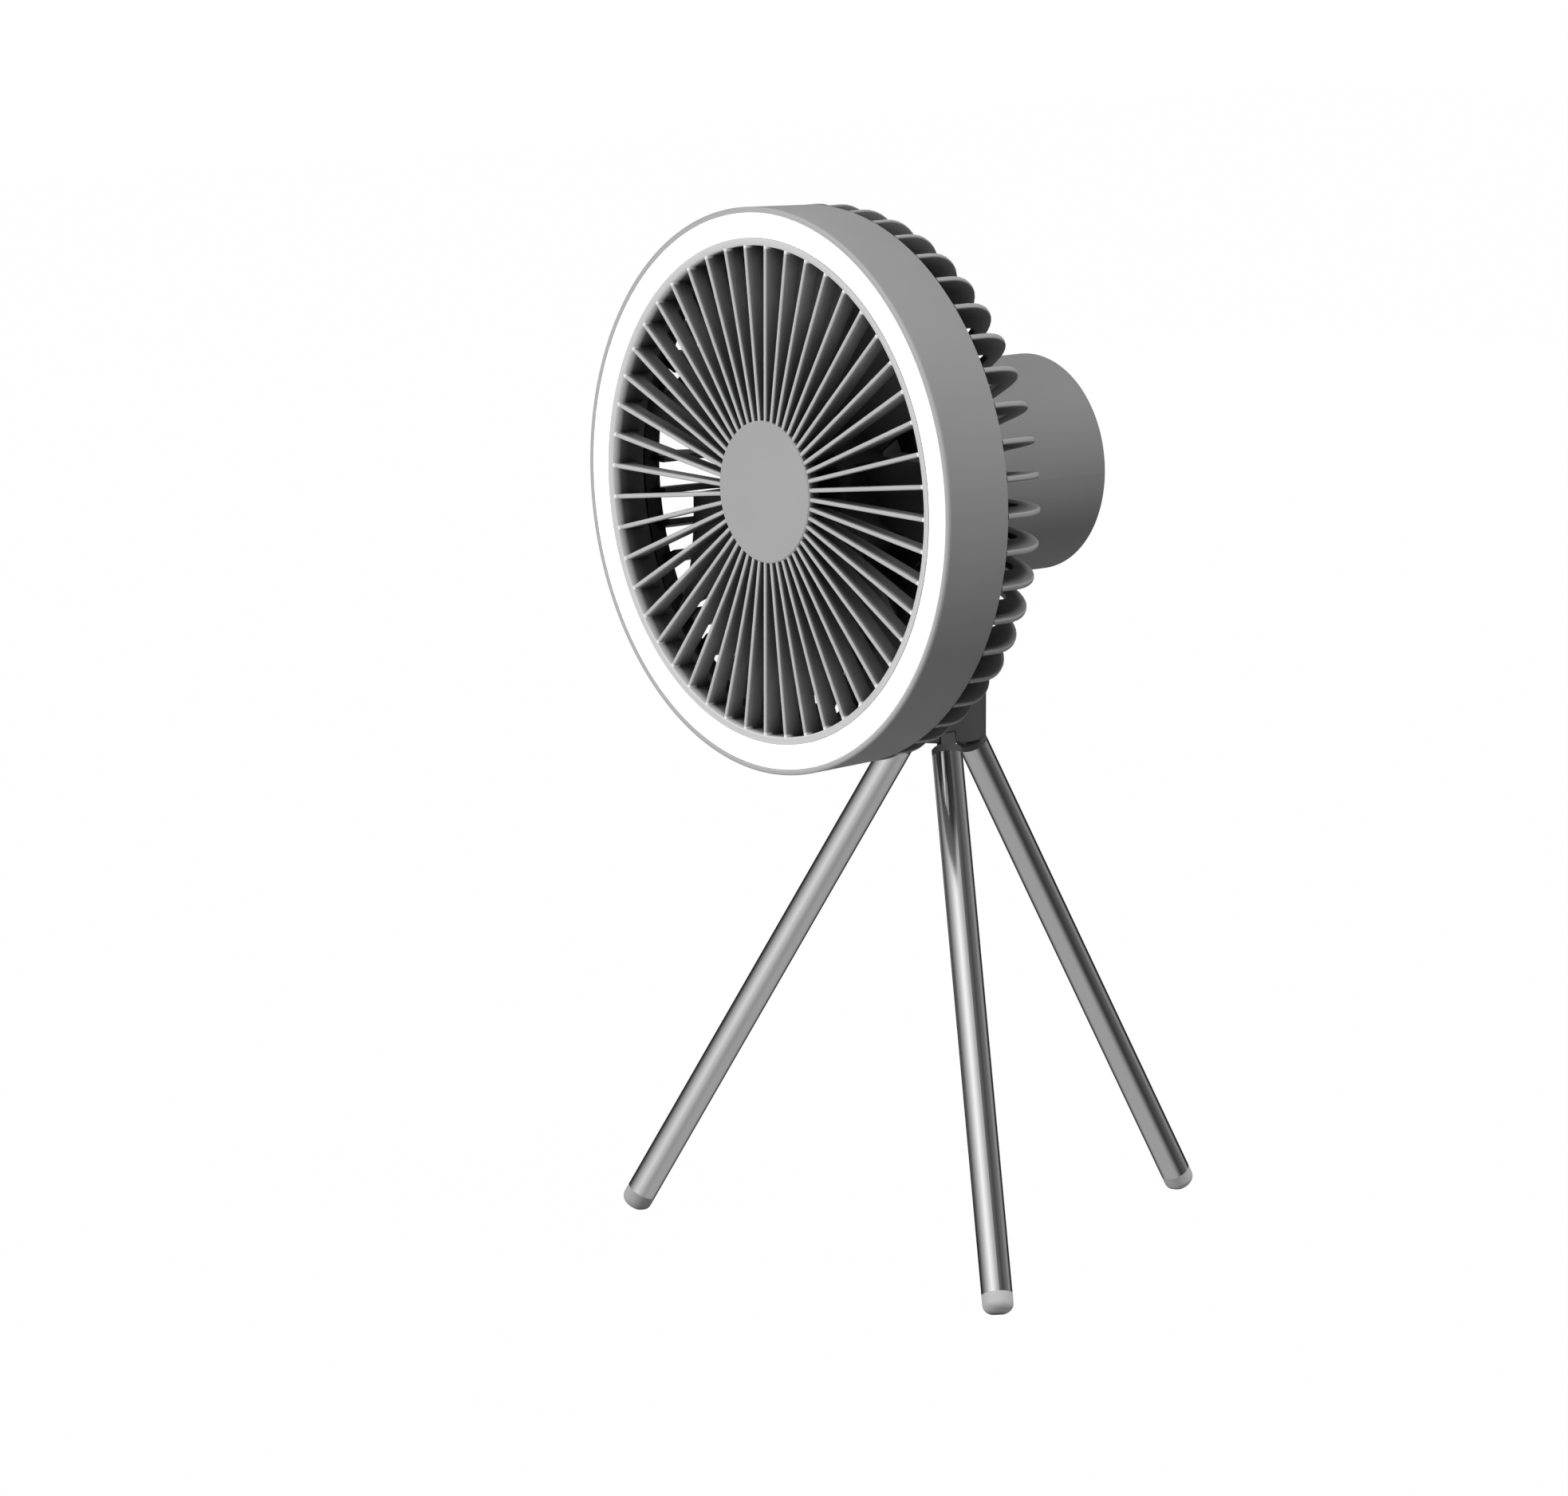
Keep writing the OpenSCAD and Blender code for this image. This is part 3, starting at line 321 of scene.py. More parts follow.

# %% [markdown]
# Light near the lamp.  The plastic beside the lamp's window is thin, and some light seeps through it.  A
# shader that lets light through could work this out, but slowly and with much noise.  So a glow is
# painted on instead: the material knows how far a point is from the lamp's circle and how deep it lies in
# the head, and glows by that.

# %% Light that seeps
BEZEL_R, WINDOW_R = 80.3, 88.3
LAMP_R, LAMP_HALF = (BEZEL_R + WINDOW_R) / 2 * MM, (WINDOW_R - BEZEL_R) / 2 * MM


def from_circle(tree, coords, radius):
    """How far a point is from a circle round the head's axis, counted along the radius."""
    flat = add(tree, "VectorMath", {0: coords.outputs["Object"], 1: (1, 0, 1)}, operation="MULTIPLY")
    out = add(tree, "VectorMath", {0: flat.outputs[0], 1: (AXIS_X, 0, AXIS_Z)}, operation="DISTANCE")
    offset = add(tree, "Math", {0: out.outputs["Value"], 1: radius}, operation="SUBTRACT")
    return add(tree, "Math", {0: offset.outputs[0]}, operation="ABSOLUTE").outputs[0]


def by_depth(tree, coords, start, end, low, high):
    """Goes evenly from low at depth start in the head to high at depth end."""
    parts = add(tree, "SeparateXYZ", {0: coords.outputs["Object"]})
    return between(tree, parts.outputs["Y"], low, high, start=FRONT_Y + start, end=FRONT_Y + end)


def lamp_spill(tree, coords, radius, half, strength, reach, depth_reach):
    """Painted glow that stands for the lamp's light seeping through the thin plastic beside its window.

    It is full within half of the circle of the given radius, and falls evenly to nothing over
    reach to either side and over depth_reach behind the front face."""
    beside = between(tree, from_circle(tree, coords, radius), strength, 0.0, start=half, end=half + reach)
    behind = by_depth(tree, coords, 0, depth_reach, 1.0, 0.0)
    return add(tree, "Math", {0: beside, 1: behind}, operation="MULTIPLY").outputs[0]


print("lamp circle:", round(LAMP_R / MM, 2), "+-", round(LAMP_HALF / MM, 2), "mm")

# %% [markdown]
# Painted shade in hollow places.  Between the vanes and between the fins the photo is much darker than
# the even light of this studio would leave it.  Lamps placed for that would suit one view and spoil all
# others.  So shade is painted into the colour itself, which gets darker where close surfaces hide much of
# the sky.

# %% Painted shade in hollow places
DEEP_HOLLOW = 0.42
SKY_SAMPLES = 8


def open_sky(tree, reach, share):
    """1 in the open, and 1 - share where the surfaces closer than reach leave little of the sky.

    Little is DEEP_HOLLOW of it or less, and in between the value goes evenly."""
    seen = add(tree, "AmbientOcclusion", {"Distance": reach}, samples=SKY_SAMPLES)
    return between(tree, seen.outputs["AO"], 1 - share, 1.0, start=DEEP_HOLLOW)


print("fully dark with", DEEP_HOLLOW, "of the sky or less")

# %% [markdown]
# A plastic is then one shader.  Its colour is the plain one, times the slow noise, times painted shade in
# hollow places and, where asked for, painted shade that grows with depth.  Its roughness follows the slow
# noise too.  A painted glow of the lamp's light is added up as emission, which the shader has of its own,
# so no second shader is mixed in.

# %% Plastic
def plastic(name, colour, roughness, grain=GRAIN, bump=GRAIN_BUMP, spills=(), hollow_shade=None, depth_shade=None):
    """Moulded plastic: fine grain as bump, and slow changes of shade and roughness.

    Each of spills adds a painted glow of the lamp (see lamp_spill).  The shade of hollow places is
    painted shade in hidden places (see open_sky).  The shade by depth is painted shade that darkens the
    colour evenly, from nothing at depth start to 1 - share of it at depth end."""
    material = bpy.data.materials.new(name)
    tree = new_tree(material)
    coords = add(tree, "TexCoord")
    fine = noise(tree, coords, 1 / grain, GRAIN_DETAIL)
    slow = noise(tree, coords, PATCHES_PER_M, SLOW_DETAIL)
    shade = scaled(tree, colour[:3], between(tree, slow, 1 - MOTTLING, 1 + MOTTLING))
    # Painted shade: darker in hollow places, and with depth.
    if hollow_shade:
        shade = scaled(tree, shade, open_sky(tree, **hollow_shade))
    if depth_shade:
        shade = scaled(tree, shade, by_depth(tree, coords, depth_shade["start"], depth_shade["end"],
                                             1.0, 1 - depth_shade["share"]))
    rough = between(tree, slow, roughness - SMOOTHER, roughness + ROUGHER)
    grains = add(tree, "Bump", {"Height": fine, "Strength": bump, "Distance": grain * BUMP_PER_GRAIN})
    shader = add(tree, "BsdfPrincipled", {"Base Color": shade, "Roughness": rough,
                                          "Normal": grains.outputs["Normal"]})
    # Painted glow of the lamp, as emission.
    light = [lamp_spill(tree, coords, **spill) for spill in spills]
    while len(light) > 1:
        second, first = light.pop(), light.pop()
        light.append(add(tree, "Math", {0: first, 1: second}, operation="ADD").outputs[0])
    if light:
        tree.links.new(light[0], shader.inputs["Emission Strength"])
    add(tree, "OutputMaterial", {"Surface": shader.outputs[0]})
    return material


PLASTICS = {
    "body_grey": dict(colour=grey(140), roughness=0.45),
    # The cage's grey gets painted shade in its hollow places.
    "cage_grey": dict(colour=grey(142), roughness=0.5, hollow_shade=dict(reach=22 * MM, share=0.97)),
    "light_grey": dict(colour=grey(172), roughness=0.45),
    "post_grey": dict(colour=grey(72), roughness=0.5),
    "wheel_grey": dict(colour=grey(46), roughness=0.4),
    "chip_yellow": dict(colour=(0.85, 0.75, 0.35, 1), roughness=0.3),
    "board_green": dict(colour=(0.02, 0.09, 0.04, 1), roughness=0.35),
    "magnet_black": dict(colour=grey(45), roughness=0.6),
    "cell_sleeve": dict(colour=(0.03, 0.12, 0.28, 1), roughness=0.25),
    "holder_white": dict(colour=grey(205), roughness=0.5),
    "switch_black": dict(colour=grey(25), roughness=0.45),
    "lens_white": dict(colour=grey(235), roughness=0.2),
    "tip_rubber": dict(colour=grey(180), roughness=0.75, grain=1.2 * MM, bump=0.1),
}
finish = {name: plastic(name, **look) for name, look in PLASTICS.items()}
print("plastics:", len(finish))

# %% [markdown]
# Bare metal: the polished steel tubes of the legs, and the screws, the motor's can, its bushes
# and its core.  Metal shows the room, tinted by its own colour.  What makes it look real is how
# sharply it does so, and that this changes slowly from place to place.  A picture of scratches
# could do it, but the tubes in the photo have none, so only the roughness is noisy.

# %% Metal
METALS = {
    "leg_steel": dict(colour=grey(232), roughness=0.16),
    "screw_steel": dict(colour=grey(180), roughness=0.3),
    "can_steel": dict(colour=grey(190), roughness=0.25),
    "bush_brass": dict(colour=(0.55, 0.38, 0.14, 1), roughness=0.35),
    "core_copper": dict(colour=(0.6, 0.25, 0.12, 1), roughness=0.35),
}


def metal(name, colour, roughness):
    """Bare metal with slow changes of polish."""
    material = bpy.data.materials.new(name)
    tree = new_tree(material)
    slow = noise(tree, add(tree, "TexCoord"), POLISH_PATCHES_PER_M, POLISH_DETAIL)
    rough = between(tree, slow, roughness - POLISH_CHANGE, roughness + POLISH_CHANGE)
    shader = add(tree, "BsdfPrincipled", {"Base Color": colour, "Metallic": 1.0, "Roughness": rough})
    add(tree, "OutputMaterial", {"Surface": shader.outputs[0]})
    return material


finish.update({name: metal(name, **look) for name, look in METALS.items()})
print("metals:", len(METALS))

# %% [markdown]
# The lamp's window is a milky ring with the light chips behind it.  Real chips behind real milky
# plastic would need many bounces and come out spotty, so the window itself is lit evenly.  Near
# the lip the chips reach it less, and there its light fades, which makes its edge look thick.

# %% Lamp window
MILKY = (0.9, 0.9, 0.9, 1)
MILKY_ROUGHNESS = 0.35
WINDOW_LIGHT, EDGE_LIGHT = 1.0, 0.3
WINDOW_EDGE = 1.8 * MM


def lit_window(name):
    """Milky plastic lit from inside, weaker within WINDOW_EDGE of the lip round it."""
    material = bpy.data.materials.new(name)
    tree = new_tree(material)
    to_lip = from_circle(tree, add(tree, "TexCoord"), LAMP_R + LAMP_HALF)
    light = between(tree, to_lip, EDGE_LIGHT, WINDOW_LIGHT, end=WINDOW_EDGE)
    shader = add(tree, "BsdfPrincipled", {"Base Color": MILKY, "Roughness": MILKY_ROUGHNESS,
                                          "Emission Color": WHITE, "Emission Strength": light})
    add(tree, "OutputMaterial", {"Surface": shader.outputs[0]})
    return material


finish["milky"] = lit_window("milky")
print("finishes:", len(finish))

# %% [markdown]
# Three mouldings get their own copies of the plain greys, with painted light and shade.  The ring's copy
# is a little darker, and has a painted glow where the lamp's light would seep through its lip.  The
# grille's copy is lighter, with a painted glow on its bezel and the wall of its cup, painted shade in its
# hollow places, and painted shade that gets darker the further back it lies.  The barrel's copy is
# darker, with painted shade in its hollow places and a painted shadow of the cage that it is fixed to.
# They could share the plain finishes, but then the lamp would look pasted on.

# %% Copies of the greys with painted glow and shade
CUP_WALL_R = 77.6 * MM
# How strongly and how far the lamp's glow is painted beside its window.
RING_GLOW = dict(radius=LAMP_R, half=LAMP_HALF, strength=0.26, reach=4 * MM, depth_reach=1.3 * MM)
BEZEL_GLOW = dict(radius=LAMP_R, half=LAMP_HALF, strength=0.12, reach=4 * MM, depth_reach=3 * MM)
CUP_GLOW = dict(radius=CUP_WALL_R, half=0.3 * MM, strength=0.35, reach=0.4 * MM, depth_reach=3.5 * MM)

# The ring: a darker copy of body grey with a painted glow beside the lamp.
lit_ring = plastic("body_grey_by_the_lamp", grey(131), 0.45, spills=[RING_GLOW])
# The grille: a lighter copy of light grey with painted glow, painted shade in hollow places, and painted
# shade that grows from 2 to 6.5 mm back.
grille_glow_and_shade = plastic("light_grey_by_the_lamp", grey(195), 0.45, spills=[BEZEL_GLOW, CUP_GLOW],
                     hollow_shade=dict(reach=7 * MM, share=0.75),
                     depth_shade=dict(start=2 * MM, end=6.5 * MM, share=0.65))
# The barrel: a darker copy of body grey with painted shade in hollow places and a painted shadow that
# grows towards the cage.
shaded_barrel = plastic("body_grey_deep", grey(118), 0.5, hollow_shade=dict(reach=20 * MM, share=0.9),
                       depth_shade=dict(start=56 * MM, end=46 * MM, share=0.45))
print("special greys:", [material.name for material in (lit_ring, grille_glow_and_shade, shaded_barrel)])

# %% [markdown]
# Every solid names the material it is made of.  Its finish could be picked piece by piece, but
# the record already holds the list, so one loop dresses them all.

# %% Dress the solids
slots = {part["node"]: part["material_slot"] for part in frame["record"]["subparts"]}
for name, piece in nodes.items():
    piece.data.materials.clear()
    piece.data.materials.append(shaded_barrel if name == "barrel" else finish[slots[name]])
print("dressed:", len(nodes))

# %% [markdown]
# New pieces are surfaces worked out with numpy.  They could be modelled with Blender's own tools,
# but a formula is exact and shows how the shape is meant.  A surface is a grid of points: rows
# run one way and columns the other, and neighbouring points make the four-cornered faces.  Many
# copies of one surface, such as the vanes, are one array with an extra first axis.

# %% Faces of a grid
def grid_faces(rows, cols, wrap_rows=False, wrap_cols=False):
    """Corner numbers of the faces of a grid, as an array of four columns.

    The face at row i and column j joins the points (i, j), (i+1, j), (i+1, j+1) and (i, j+1).
    Where a direction wraps, its last row or column joins on to the first."""
    i = np.arange(rows if wrap_rows else rows - 1)[:, None]
    j = np.arange(cols if wrap_cols else cols - 1)[None, :]
    below, beside = (i + 1) % rows, (j + 1) % cols
    corners = (i * cols + j, below * cols + j, below * cols + beside, i * cols + beside)
    return np.stack([c.ravel() for c in corners], 1)


print("a grid of 3 x 4 points has", len(grid_faces(3, 4)), "faces")

# %% [markdown]
# A moulding can need several such surfaces, which overlap a little, as bezel, disc and vanes do.
# They could be joined by a boolean, but that is slow and leaves slivers, and inside the plastic
# nobody sees the overlap.  Each piece then says which body it moves with, which material it is
# made of, and which solid it stands for.

# %% From grids to a piece
SAME_POINT = 0.0001 * MM
SHARP_ANGLE = math.radians(35)


def make_piece(name, surfaces, body, slot, stands_for=(), material=None):
    """Builds one object from surfaces = [(points, wrap_rows, wrap_cols), ...].

    points is an array of copies x rows x cols x 3, in millimetres.  Points that fall together,
    as where a grid ends in one point, are merged, and then all faces are turned outwards."""
    points_all, faces_all, start = [], [], 0
    for points, wrap_rows, wrap_cols in surfaces:
        copies, rows, cols, _ = points.shape
        faces = grid_faces(rows, cols, wrap_rows, wrap_cols)
        shift = np.arange(copies)[:, None, None] * rows * cols
        faces_all.append((faces[None] + shift).reshape(-1, 4) + start)
        points_all.append(points.reshape(-1, 3))
        start += copies * rows * cols
    mesh = bpy.data.meshes.new(name)
    mesh.from_pydata(np.concatenate(points_all) * MM, [], np.concatenate(faces_all))
    cleaner = bmesh.new()
    cleaner.from_mesh(mesh)
    bmesh.ops.remove_doubles(cleaner, verts=cleaner.verts, dist=SAME_POINT)
    bmesh.ops.recalc_face_normals(cleaner, faces=cleaner.faces)
    cleaner.to_mesh(mesh)
    cleaner.free()
    mesh.shade_smooth()
    mesh.set_sharp_from_angle(angle=SHARP_ANGLE)
    mesh.materials.append(material or finish[slot])
    piece = bpy.data.objects.new(name, mesh)
    bpy.context.scene.collection.objects.link(piece)
    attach(piece, body)
    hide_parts(*stands_for)
    print(name, len(mesh.polygons), "faces")


print("edges sharper than", round(math.degrees(SHARP_ANGLE)), "degrees stay crisp")

# %% [markdown]
# All of the new pieces are round about the head's axis or stand round it like spokes.  So their
# points are worked out as radius, depth and angle, and one function takes them to the world.

# %% Round about the head
ROUND_STEPS = 192


def in_head(radius, depth, angle, side=0.0):
    """Head coordinates to the world, in millimetres.

    radius is measured from the head's axis, depth backwards from the front face, and angle
    clockwise from the top as seen from the front.  side moves the point across the radius."""
    out_x, out_z = np.sin(angle), np.cos(angle)
    x = AXIS_X / MM + radius * out_x + side * out_z
    z = AXIS_Z / MM + radius * out_z - side * out_x
    y = FRONT_Y / MM + depth + 0 * x
    return np.stack(np.broadcast_arrays(x, y, z), -1)


def turned(profile):
    """A closed outline of (radius, depth) pairs carried once round the head's axis."""
    outline = np.array(profile, float)
    angle = np.linspace(0, 2 * np.pi, ROUND_STEPS, endpoint=False)[:, None]
    return in_head(outline[None, :, 0], outline[None, :, 1], angle)[None], True, True


def all_round(count, first=0.0):
    """The angles of count spokes, evenly spaced, shaped so that each gives one copy of a grid."""
    return (first + np.arange(count) * 2 * np.pi / count)[:, None, None]


print("a turned edge has one corner for each", 360 / ROUND_STEPS, "degrees")

# %% [markdown]
# Moulded edges are never sharp.  A bevel could round them afterwards, but here the outline itself
# gets small arcs before it is turned, each with its own radius, as a mould's drawing has them.

# %% Rounded corners
ARC_STEPS = 5


def rounded(corners):
    """Rounds the corners of a closed outline.

    corners = [(radius, depth, rounding), ...].  Each corner is replaced by an arc that touches
    both sides: it starts and ends rounding / tan(half the corner's angle) from the corner.  On
    the arc, a point at share t of the sweep is the middle plus the start arm times
    sin((1 - t) sweep) / sin(sweep) plus the end arm times sin(t sweep) / sin(sweep)."""
    outline = []
    for k, (radius, depth, rounding) in enumerate(corners):
        here = np.array([radius, depth])
        if rounding <= 0:
            outline.append(here[None])
            continue
        to_last = np.array(corners[k - 1][:2]) - here
        to_next = np.array(corners[(k + 1) % len(corners)][:2]) - here
        to_last, to_next = (v / np.linalg.norm(v) for v in (to_last, to_next))
        half = math.acos(np.clip(to_last @ to_next, -1, 1)) / 2
        inward = (to_last + to_next) / np.linalg.norm(to_last + to_next)
        middle = here + inward * rounding / math.sin(half)
        start = here + to_last * rounding / math.tan(half) - middle
        end = here + to_next * rounding / math.tan(half) - middle
        sweep = np.pi - 2 * half
        t = np.linspace(0, 1, ARC_STEPS + 1)[:, None]
        arc = start * np.sin((1 - t) * sweep) + end * np.sin(t * sweep)
        outline.append(middle + arc / math.sin(sweep))
    return np.concatenate(outline)


square = [(0, 0, 1), (4, 0, 1), (4, 4, 1), (0, 4, 1)]
print("a square with four round corners has", len(rounded(square)), "points")

# %% [markdown]
# The front grille is one moulding: a bezel, a cup behind it, 48 straight vanes and a disc in the
# middle.  A vane is a thin blade with a thicker, rounded nose, and close to the wall it grows
# deeper along a quarter circle.  Boxes would do from afar, but the light runs along the round
# noses, so a vane is its section carried outwards along the radius, one grid for each.

# %% Vanes
VANES = 48
GRILLE_R, CUP_R = 77.9, 79.5
CAP_R, CAP_T, DISC_T = 22.6, 1.5, 2.4
VANE_FRONT, VANE_DEPTH, FLARE = 0.25, 6.5, 6.0
FLARE_STOP, FLARE_FIRST_STEP = 0.02, 0.15
# A vane starts inside the disc's edge and ends inside the wall.
VANE_ROOT_R, VANE_END_R = CAP_R - 1.0, GRILLE_R + 0.8
NOSE_HALF, NOSE_ROUND, NOSE_DEPTH = 0.75, 0.55, 2.1
NOSE_ENDS, WEB_STARTS = NOSE_DEPTH - 0.3, NOSE_DEPTH + 0.25
WEB_HALF, BACK_BEVEL = 0.45, 0.25
NOSE_POINTS, STRAIGHT_POINTS, FLARE_POINTS = 5, 6, 9


def vane_depths(radius):
    """How deep the vane is: level, then a quarter circle of radius FLARE up to the wall.

    The circle stops FLARE_STOP before the wall, where it gets too steep."""
    along = np.clip(radius - (GRILLE_R - FLARE), 0, FLARE - FLARE_STOP)
    return VANE_DEPTH + FLARE - np.sqrt(FLARE ** 2 - along ** 2)


def vane_grid():
    """One vane for each spoke.  Rows go out along the radius, columns once round the section.

    Half of the section is a quarter circle for the nose, its flank, a step in to the web, the
    web's flank and a small bevel at the back.  Its first part keeps its depth, and the back
    follows vane_depths.  The other half mirrors it, and each end closes in a point."""
    nose = np.linspace(0, np.pi / 2, NOSE_POINTS)
    side = np.concatenate([NOSE_HALF - NOSE_ROUND + NOSE_ROUND * np.sin(nose), [NOSE_HALF, WEB_HALF],
                           [WEB_HALF, WEB_HALF - BACK_BEVEL]])
    front = VANE_FRONT + np.concatenate([NOSE_ROUND * (1 - np.cos(nose)), [NOSE_ENDS, WEB_STARTS]])
    straight = np.linspace(VANE_ROOT_R, GRILLE_R - FLARE, STRAIGHT_POINTS)
    turn = np.linspace(FLARE_FIRST_STEP, np.pi / 2, FLARE_POINTS)
    flare = GRILLE_R - FLARE + FLARE * np.sin(turn)
    radius = np.concatenate([[VANE_ROOT_R], straight, flare, [VANE_END_R, VANE_END_R]])[:, None]
    depth = np.concatenate([front + 0 * radius, vane_depths(radius) + [-BACK_BEVEL, 0]], 1)
    depth = np.concatenate([depth, depth[:, ::-1]], 1)
    side = np.concatenate([side, -side[::-1]]) + 0 * radius
    for end in (0, -1):
        side[end], depth[end] = 0, depth[end].mean()
    return in_head(radius[None], depth[None], all_round(VANES), side[None]), False, True


print("vane:", VANE_DEPTH, "mm deep, and", round(float(vane_depths(GRILLE_R)), 2), "at the wall")

# %% [markdown]
# The bezel and its cup are one outline turned round the axis: a front edge that is rounder on the
# inside, a small step back for the lamp's window, and a straight wall.  The disc under the cap is
# a second one.  A Screw modifier could turn them too, but this keeps all points in one array.

# %% Front grille
BEZEL_T, CUP_DEPTH = 1.6, 13.0
BEZEL_ROUND_IN, BEZEL_ROUND_OUT = 0.55, 0.3
CUP_ROUND_IN, CUP_ROUND_OUT = 0.5, 0.3
DISC_BACK = CAP_T + DISC_T
bezel = rounded([(GRILLE_R, 0, BEZEL_ROUND_IN), (BEZEL_R, 0, BEZEL_ROUND_OUT), (BEZEL_R, BEZEL_T, 0),
                 (CUP_R, BEZEL_T, 0), (CUP_R, CUP_DEPTH, CUP_ROUND_OUT),
                 (GRILLE_R, CUP_DEPTH, CUP_ROUND_IN)])
disc = [(0, CAP_T), (CAP_R, CAP_T), (CAP_R, DISC_BACK), (0, DISC_BACK)]
make_piece("grille", [turned(bezel), turned(disc), vane_grid()], "head", "light_grey",
           ["front_grille"], material=grille_glow_and_shade)

# %% [markdown]
# The front ring is the head's side: a thin lip with a softly rounded edge, a wall that leans in a
# little, and a tray for the lamp's board.  All of it is one outline turned round the axis.  Behind
# the tray stand six pegs that take the screws.  Cylinders could be joined on for them, but as
# small grids they go through the same function as all the rest.

# %% Front ring
RING_R, RING_REAR_R, RING_BORE_R = 90.0, 89.0, 87.5
RING_DEPTH, LEDGE_DEPTH, TRAY_DEPTH, TRAY_T = 25.2, 5.2, 10.2, 1.6
TRAY_BACK = TRAY_DEPTH + TRAY_T
LIP_ROUND_OUT, LIP_ROUND_IN, REAR_ROUND = 0.7, 0.3, 0.5
PEG_R, PEG_RING_R, PEG_END, PEGS = 1.7, 85.8, 18.2, 6
PEG_STEPS = 24
FIRST_PEG = math.radians(90 + 180 / VANES)


def peg_grid():
    """Round pegs from the tray backwards: two circles along the axis, and a point closes each end."""
    turn = np.linspace(0, 2 * np.pi, PEG_STEPS, endpoint=False)
    size = np.array([0.0, PEG_R, PEG_R, 0.0])[:, None]
    depth = np.array([TRAY_DEPTH, TRAY_DEPTH, PEG_END, PEG_END])[:, None] + 0 * turn
    across, out = size * np.sin(turn), PEG_RING_R + size * np.cos(turn)
    return in_head(out, depth, all_round(PEGS, FIRST_PEG), across), False, True


ring_outline = rounded([(RING_R, 0, LIP_ROUND_OUT), (RING_REAR_R, RING_DEPTH, REAR_ROUND),
                        (RING_BORE_R, RING_DEPTH, REAR_ROUND), (RING_BORE_R, TRAY_BACK, 0),
                        (CUP_R, TRAY_BACK, 0), (CUP_R, TRAY_DEPTH, 0), (RING_BORE_R, TRAY_DEPTH, 0),
                        (RING_BORE_R, LEDGE_DEPTH, 0), (WINDOW_R, LEDGE_DEPTH, 0),
                        (WINDOW_R, 0, LIP_ROUND_IN)])
make_piece("ring", [turned(ring_outline), peg_grid()], "head", "body_grey", ["front_ring"],
           material=lit_ring)

# %% [markdown]
# The lamp's window is a shallow milky channel that fills the gap between lip and bezel.  Its
# front edges are round.  Its outer skirt stands on the ring's ledge, and its inner one reaches
# down along the cup.  A flat ring would do for the front, but the skirts show how it is held.

# %% Lamp window's channel
WINDOW_GAP, WINDOW_T, SKIRT_T, WINDOW_ROUND = 0.1, 1.5, 1.0, 0.45
INNER_SKIRT_END = 9.0
WINDOW_IN, WINDOW_OUT = BEZEL_R + WINDOW_GAP, WINDOW_R - WINDOW_GAP
WINDOW_BACK = WINDOW_GAP + WINDOW_T
window_outline = rounded([(WINDOW_IN, WINDOW_GAP, WINDOW_ROUND), (WINDOW_OUT, WINDOW_GAP, WINDOW_ROUND),
                          (WINDOW_OUT, LEDGE_DEPTH, 0), (WINDOW_OUT - SKIRT_T, LEDGE_DEPTH, 0),
                          (WINDOW_OUT - SKIRT_T, WINDOW_BACK, 0), (WINDOW_IN + SKIRT_T, WINDOW_BACK, 0),
                          (WINDOW_IN + SKIRT_T, INNER_SKIRT_END, 0), (WINDOW_IN, INNER_SKIRT_END, 0)])
make_piece("window", [turned(window_outline)], "head", "milky", ["light_window"])

# %% [markdown]
# Two tiny round marks sit on top of the barrel, as a mould's pins leave them.  They are far too
# low for the solids, and a bump in the material would hardly catch the light, so each is a small
# disc that follows the barrel.

# %% Marks on the barrel
BARREL_R = 35.0
MARK_R, MARK_RISE, MARK_STEPS = 0.55, 0.06, 16
MARK_DEPTHS, MARK_ANGLES = (98.3, 103.2), (3.74, 11.9)


def mark_grid():
    """Discs on the barrel: a middle point, a rim of radius MARK_R, and the rim again below.

    Across the barrel its surface drops by the distance squared over twice its radius."""
    around = np.linspace(0, 2 * np.pi, MARK_STEPS, endpoint=False)
    out = np.array([0, MARK_R, MARK_R])[:, None]
    rise = np.array([MARK_RISE, MARK_RISE, -MARK_RISE])[:, None]
    across, along = out * np.cos(around), out * np.sin(around)
    radius = BARREL_R - across ** 2 / (2 * BARREL_R) + rise
    depth, angle = (np.array(v)[:, None, None] for v in (MARK_DEPTHS, np.radians(MARK_ANGLES)))
    return in_head(radius, depth + along, angle, across), False, True


make_piece("barrel_marks", [mark_grid()], "head", "cage_grey")

# %% [markdown]
# The rear cage is the other big moulding.  Each fin starts inside the ring, runs back, turns the
# corner and runs in to the barrel.  A bent bar could be swept along one path, but the fin gets
# deeper and shallower on its way.  So it is two matching curves, its outer and its inner edge,
# with a rounded section stretched between them.

# %% Edges of a fin
FINS = 48
FIN_START, CAGE_DEPTH, PLATE_DEPTH = 21.2, 46.8, 40.3
FIN_IN_R = 77.5
OUT_CORNER, IN_CORNER = 16.0, 3.0
FIN_PAST_RING, FIN_FROM_BORE, FIN_FROM_BARREL = 0.02, 0.1, 0.2
SIDE_POINTS, CORNER_POINTS, BACK_POINTS = 7, 10, 8


def fin_edge(r, corner, depth):
    """Matching (radius, depth) points of one edge: straight side, quarter circle, straight back."""
    side = np.linspace(0, 1, SIDE_POINTS)
    turn = np.linspace(0, np.pi / 2, CORNER_POINTS + 1)[1:]
    inwards = np.linspace(0, 1, BACK_POINTS + 1)[1:]
    start, middle_r, middle_d = RING_DEPTH + FIN_PAST_RING, r - corner, depth - corner
    radius = np.concatenate([np.full(SIDE_POINTS, r), middle_r + corner * np.cos(turn),
                             middle_r + (BARREL_R + FIN_FROM_BARREL - middle_r) * inwards])
    level = np.concatenate([start + (middle_d - start) * side, middle_d + corner * np.sin(turn),
                            np.full(BACK_POINTS, depth)])
    return radius, level


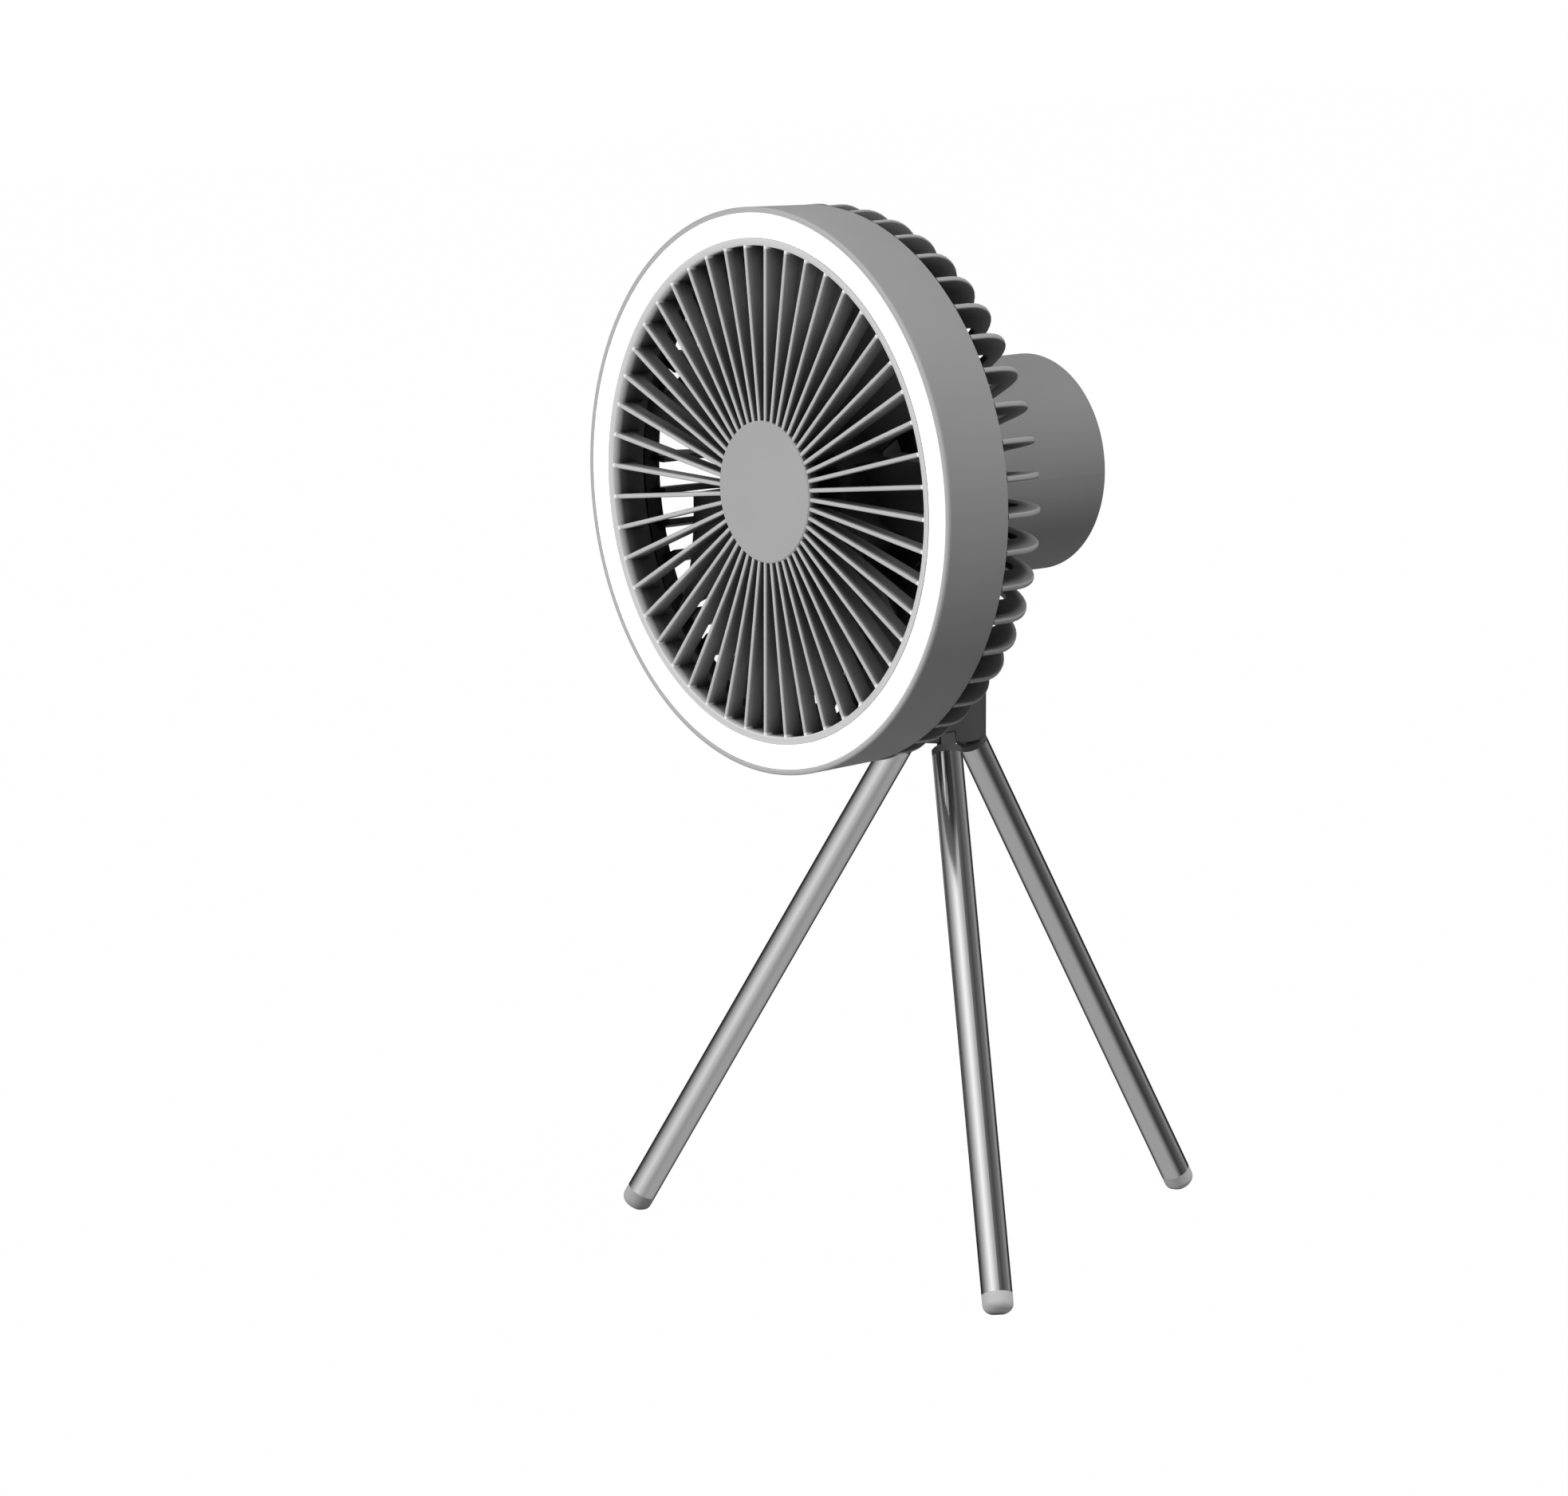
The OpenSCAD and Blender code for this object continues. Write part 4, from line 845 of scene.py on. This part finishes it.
def fin_edges():
    """The outer and the inner edge.  Two points in front of each are its root, inside the ring."""
    root_d = np.array([FIN_START, RING_DEPTH])
    edges = []
    for root_r, edge in ((RING_BORE_R - FIN_FROM_BORE, fin_edge(RING_REAR_R, OUT_CORNER, CAGE_DEPTH)),
                         (FIN_IN_R, fin_edge(FIN_IN_R, IN_CORNER, PLATE_DEPTH))):
        edges += [np.concatenate([np.full(2, root_r), edge[0]]), np.concatenate([root_d, edge[1]])]
    return edges


print("points along a fin:", len(fin_edges()[0]))

# %% [markdown]
# The section of a fin is a flat bar with rounded edges.  It could be square, with a bevel, but
# the round edges are what shows between two fins, so they are in the grid from the start.

# %% Fins
FIN_HALF, FIN_ROUND, FIN_ROUND_POINTS = 1.0, 0.7, 5


def fin_grid():
    """One fin for each spoke: rows go along the fin, columns once round its section.

    Across the fin, share goes from 0 at the outer edge to 1 at the inner one.  The section's
    corners are quarter circles of radius FIN_ROUND, and each end closes in a point."""
    out_r, out_d, in_r, in_d = (np.concatenate([v[:1], v, v[-1:]])[:, None] for v in fin_edges())
    width = np.hypot(out_r - in_r, out_d - in_d)
    turn = np.linspace(0, np.pi / 2, FIN_ROUND_POINTS)
    from_edge = FIN_ROUND * (1 - np.cos(turn))[None]
    half = (FIN_HALF - FIN_ROUND + FIN_ROUND * np.sin(turn))[None] + 0 * width
    share = np.concatenate([from_edge / width, 1 - from_edge[:, ::-1] / width], 1)
    half = np.concatenate([half, half[:, ::-1]], 1)
    share = np.concatenate([share, share[:, ::-1]], 1)
    half = np.concatenate([half, -half[:, ::-1]], 1)
    radius = out_r + (in_r - out_r) * share
    depth = out_d + (in_d - out_d) * share
    for end in (0, -1):
        half[end], radius[end], depth[end] = 0, radius[end].mean(), depth[end].mean()
    return in_head(radius[None], depth[None], all_round(FINS), half[None]), False, True


print("points of one fin:", fin_grid()[0].shape[1:3])

# %% [markdown]
# The fins grow out of two rings: a plug that slides into the front ring, and a plate in the
# middle that carries the motor in front and the barrel behind.  Both are plain turned outlines.
# They reach a little into the fins, so no gap shows where they grow together.

# %% Rear cage
PLATE_T, COLLAR_R, COLLAR_END, SHAFT_HOLE_R = 3.0, 36.0, 44.3, 3.5
PLUG_IN_R, PLUG_END = 84.1, 24.2
plate = [(SHAFT_HOLE_R, PLATE_DEPTH), (COLLAR_R, PLATE_DEPTH), (COLLAR_R, COLLAR_END),
         (BARREL_R, COLLAR_END), (BARREL_R, PLATE_DEPTH + PLATE_T), (SHAFT_HOLE_R, PLATE_DEPTH + PLATE_T)]
plug = [(PLUG_IN_R, PEG_END), (RING_BORE_R, PEG_END), (RING_BORE_R, PLUG_END), (PLUG_IN_R, PLUG_END)]
make_piece("cage", [fin_grid(), turned(plate), turned(plug)], "head", "cage_grey", ["rear_cage"])
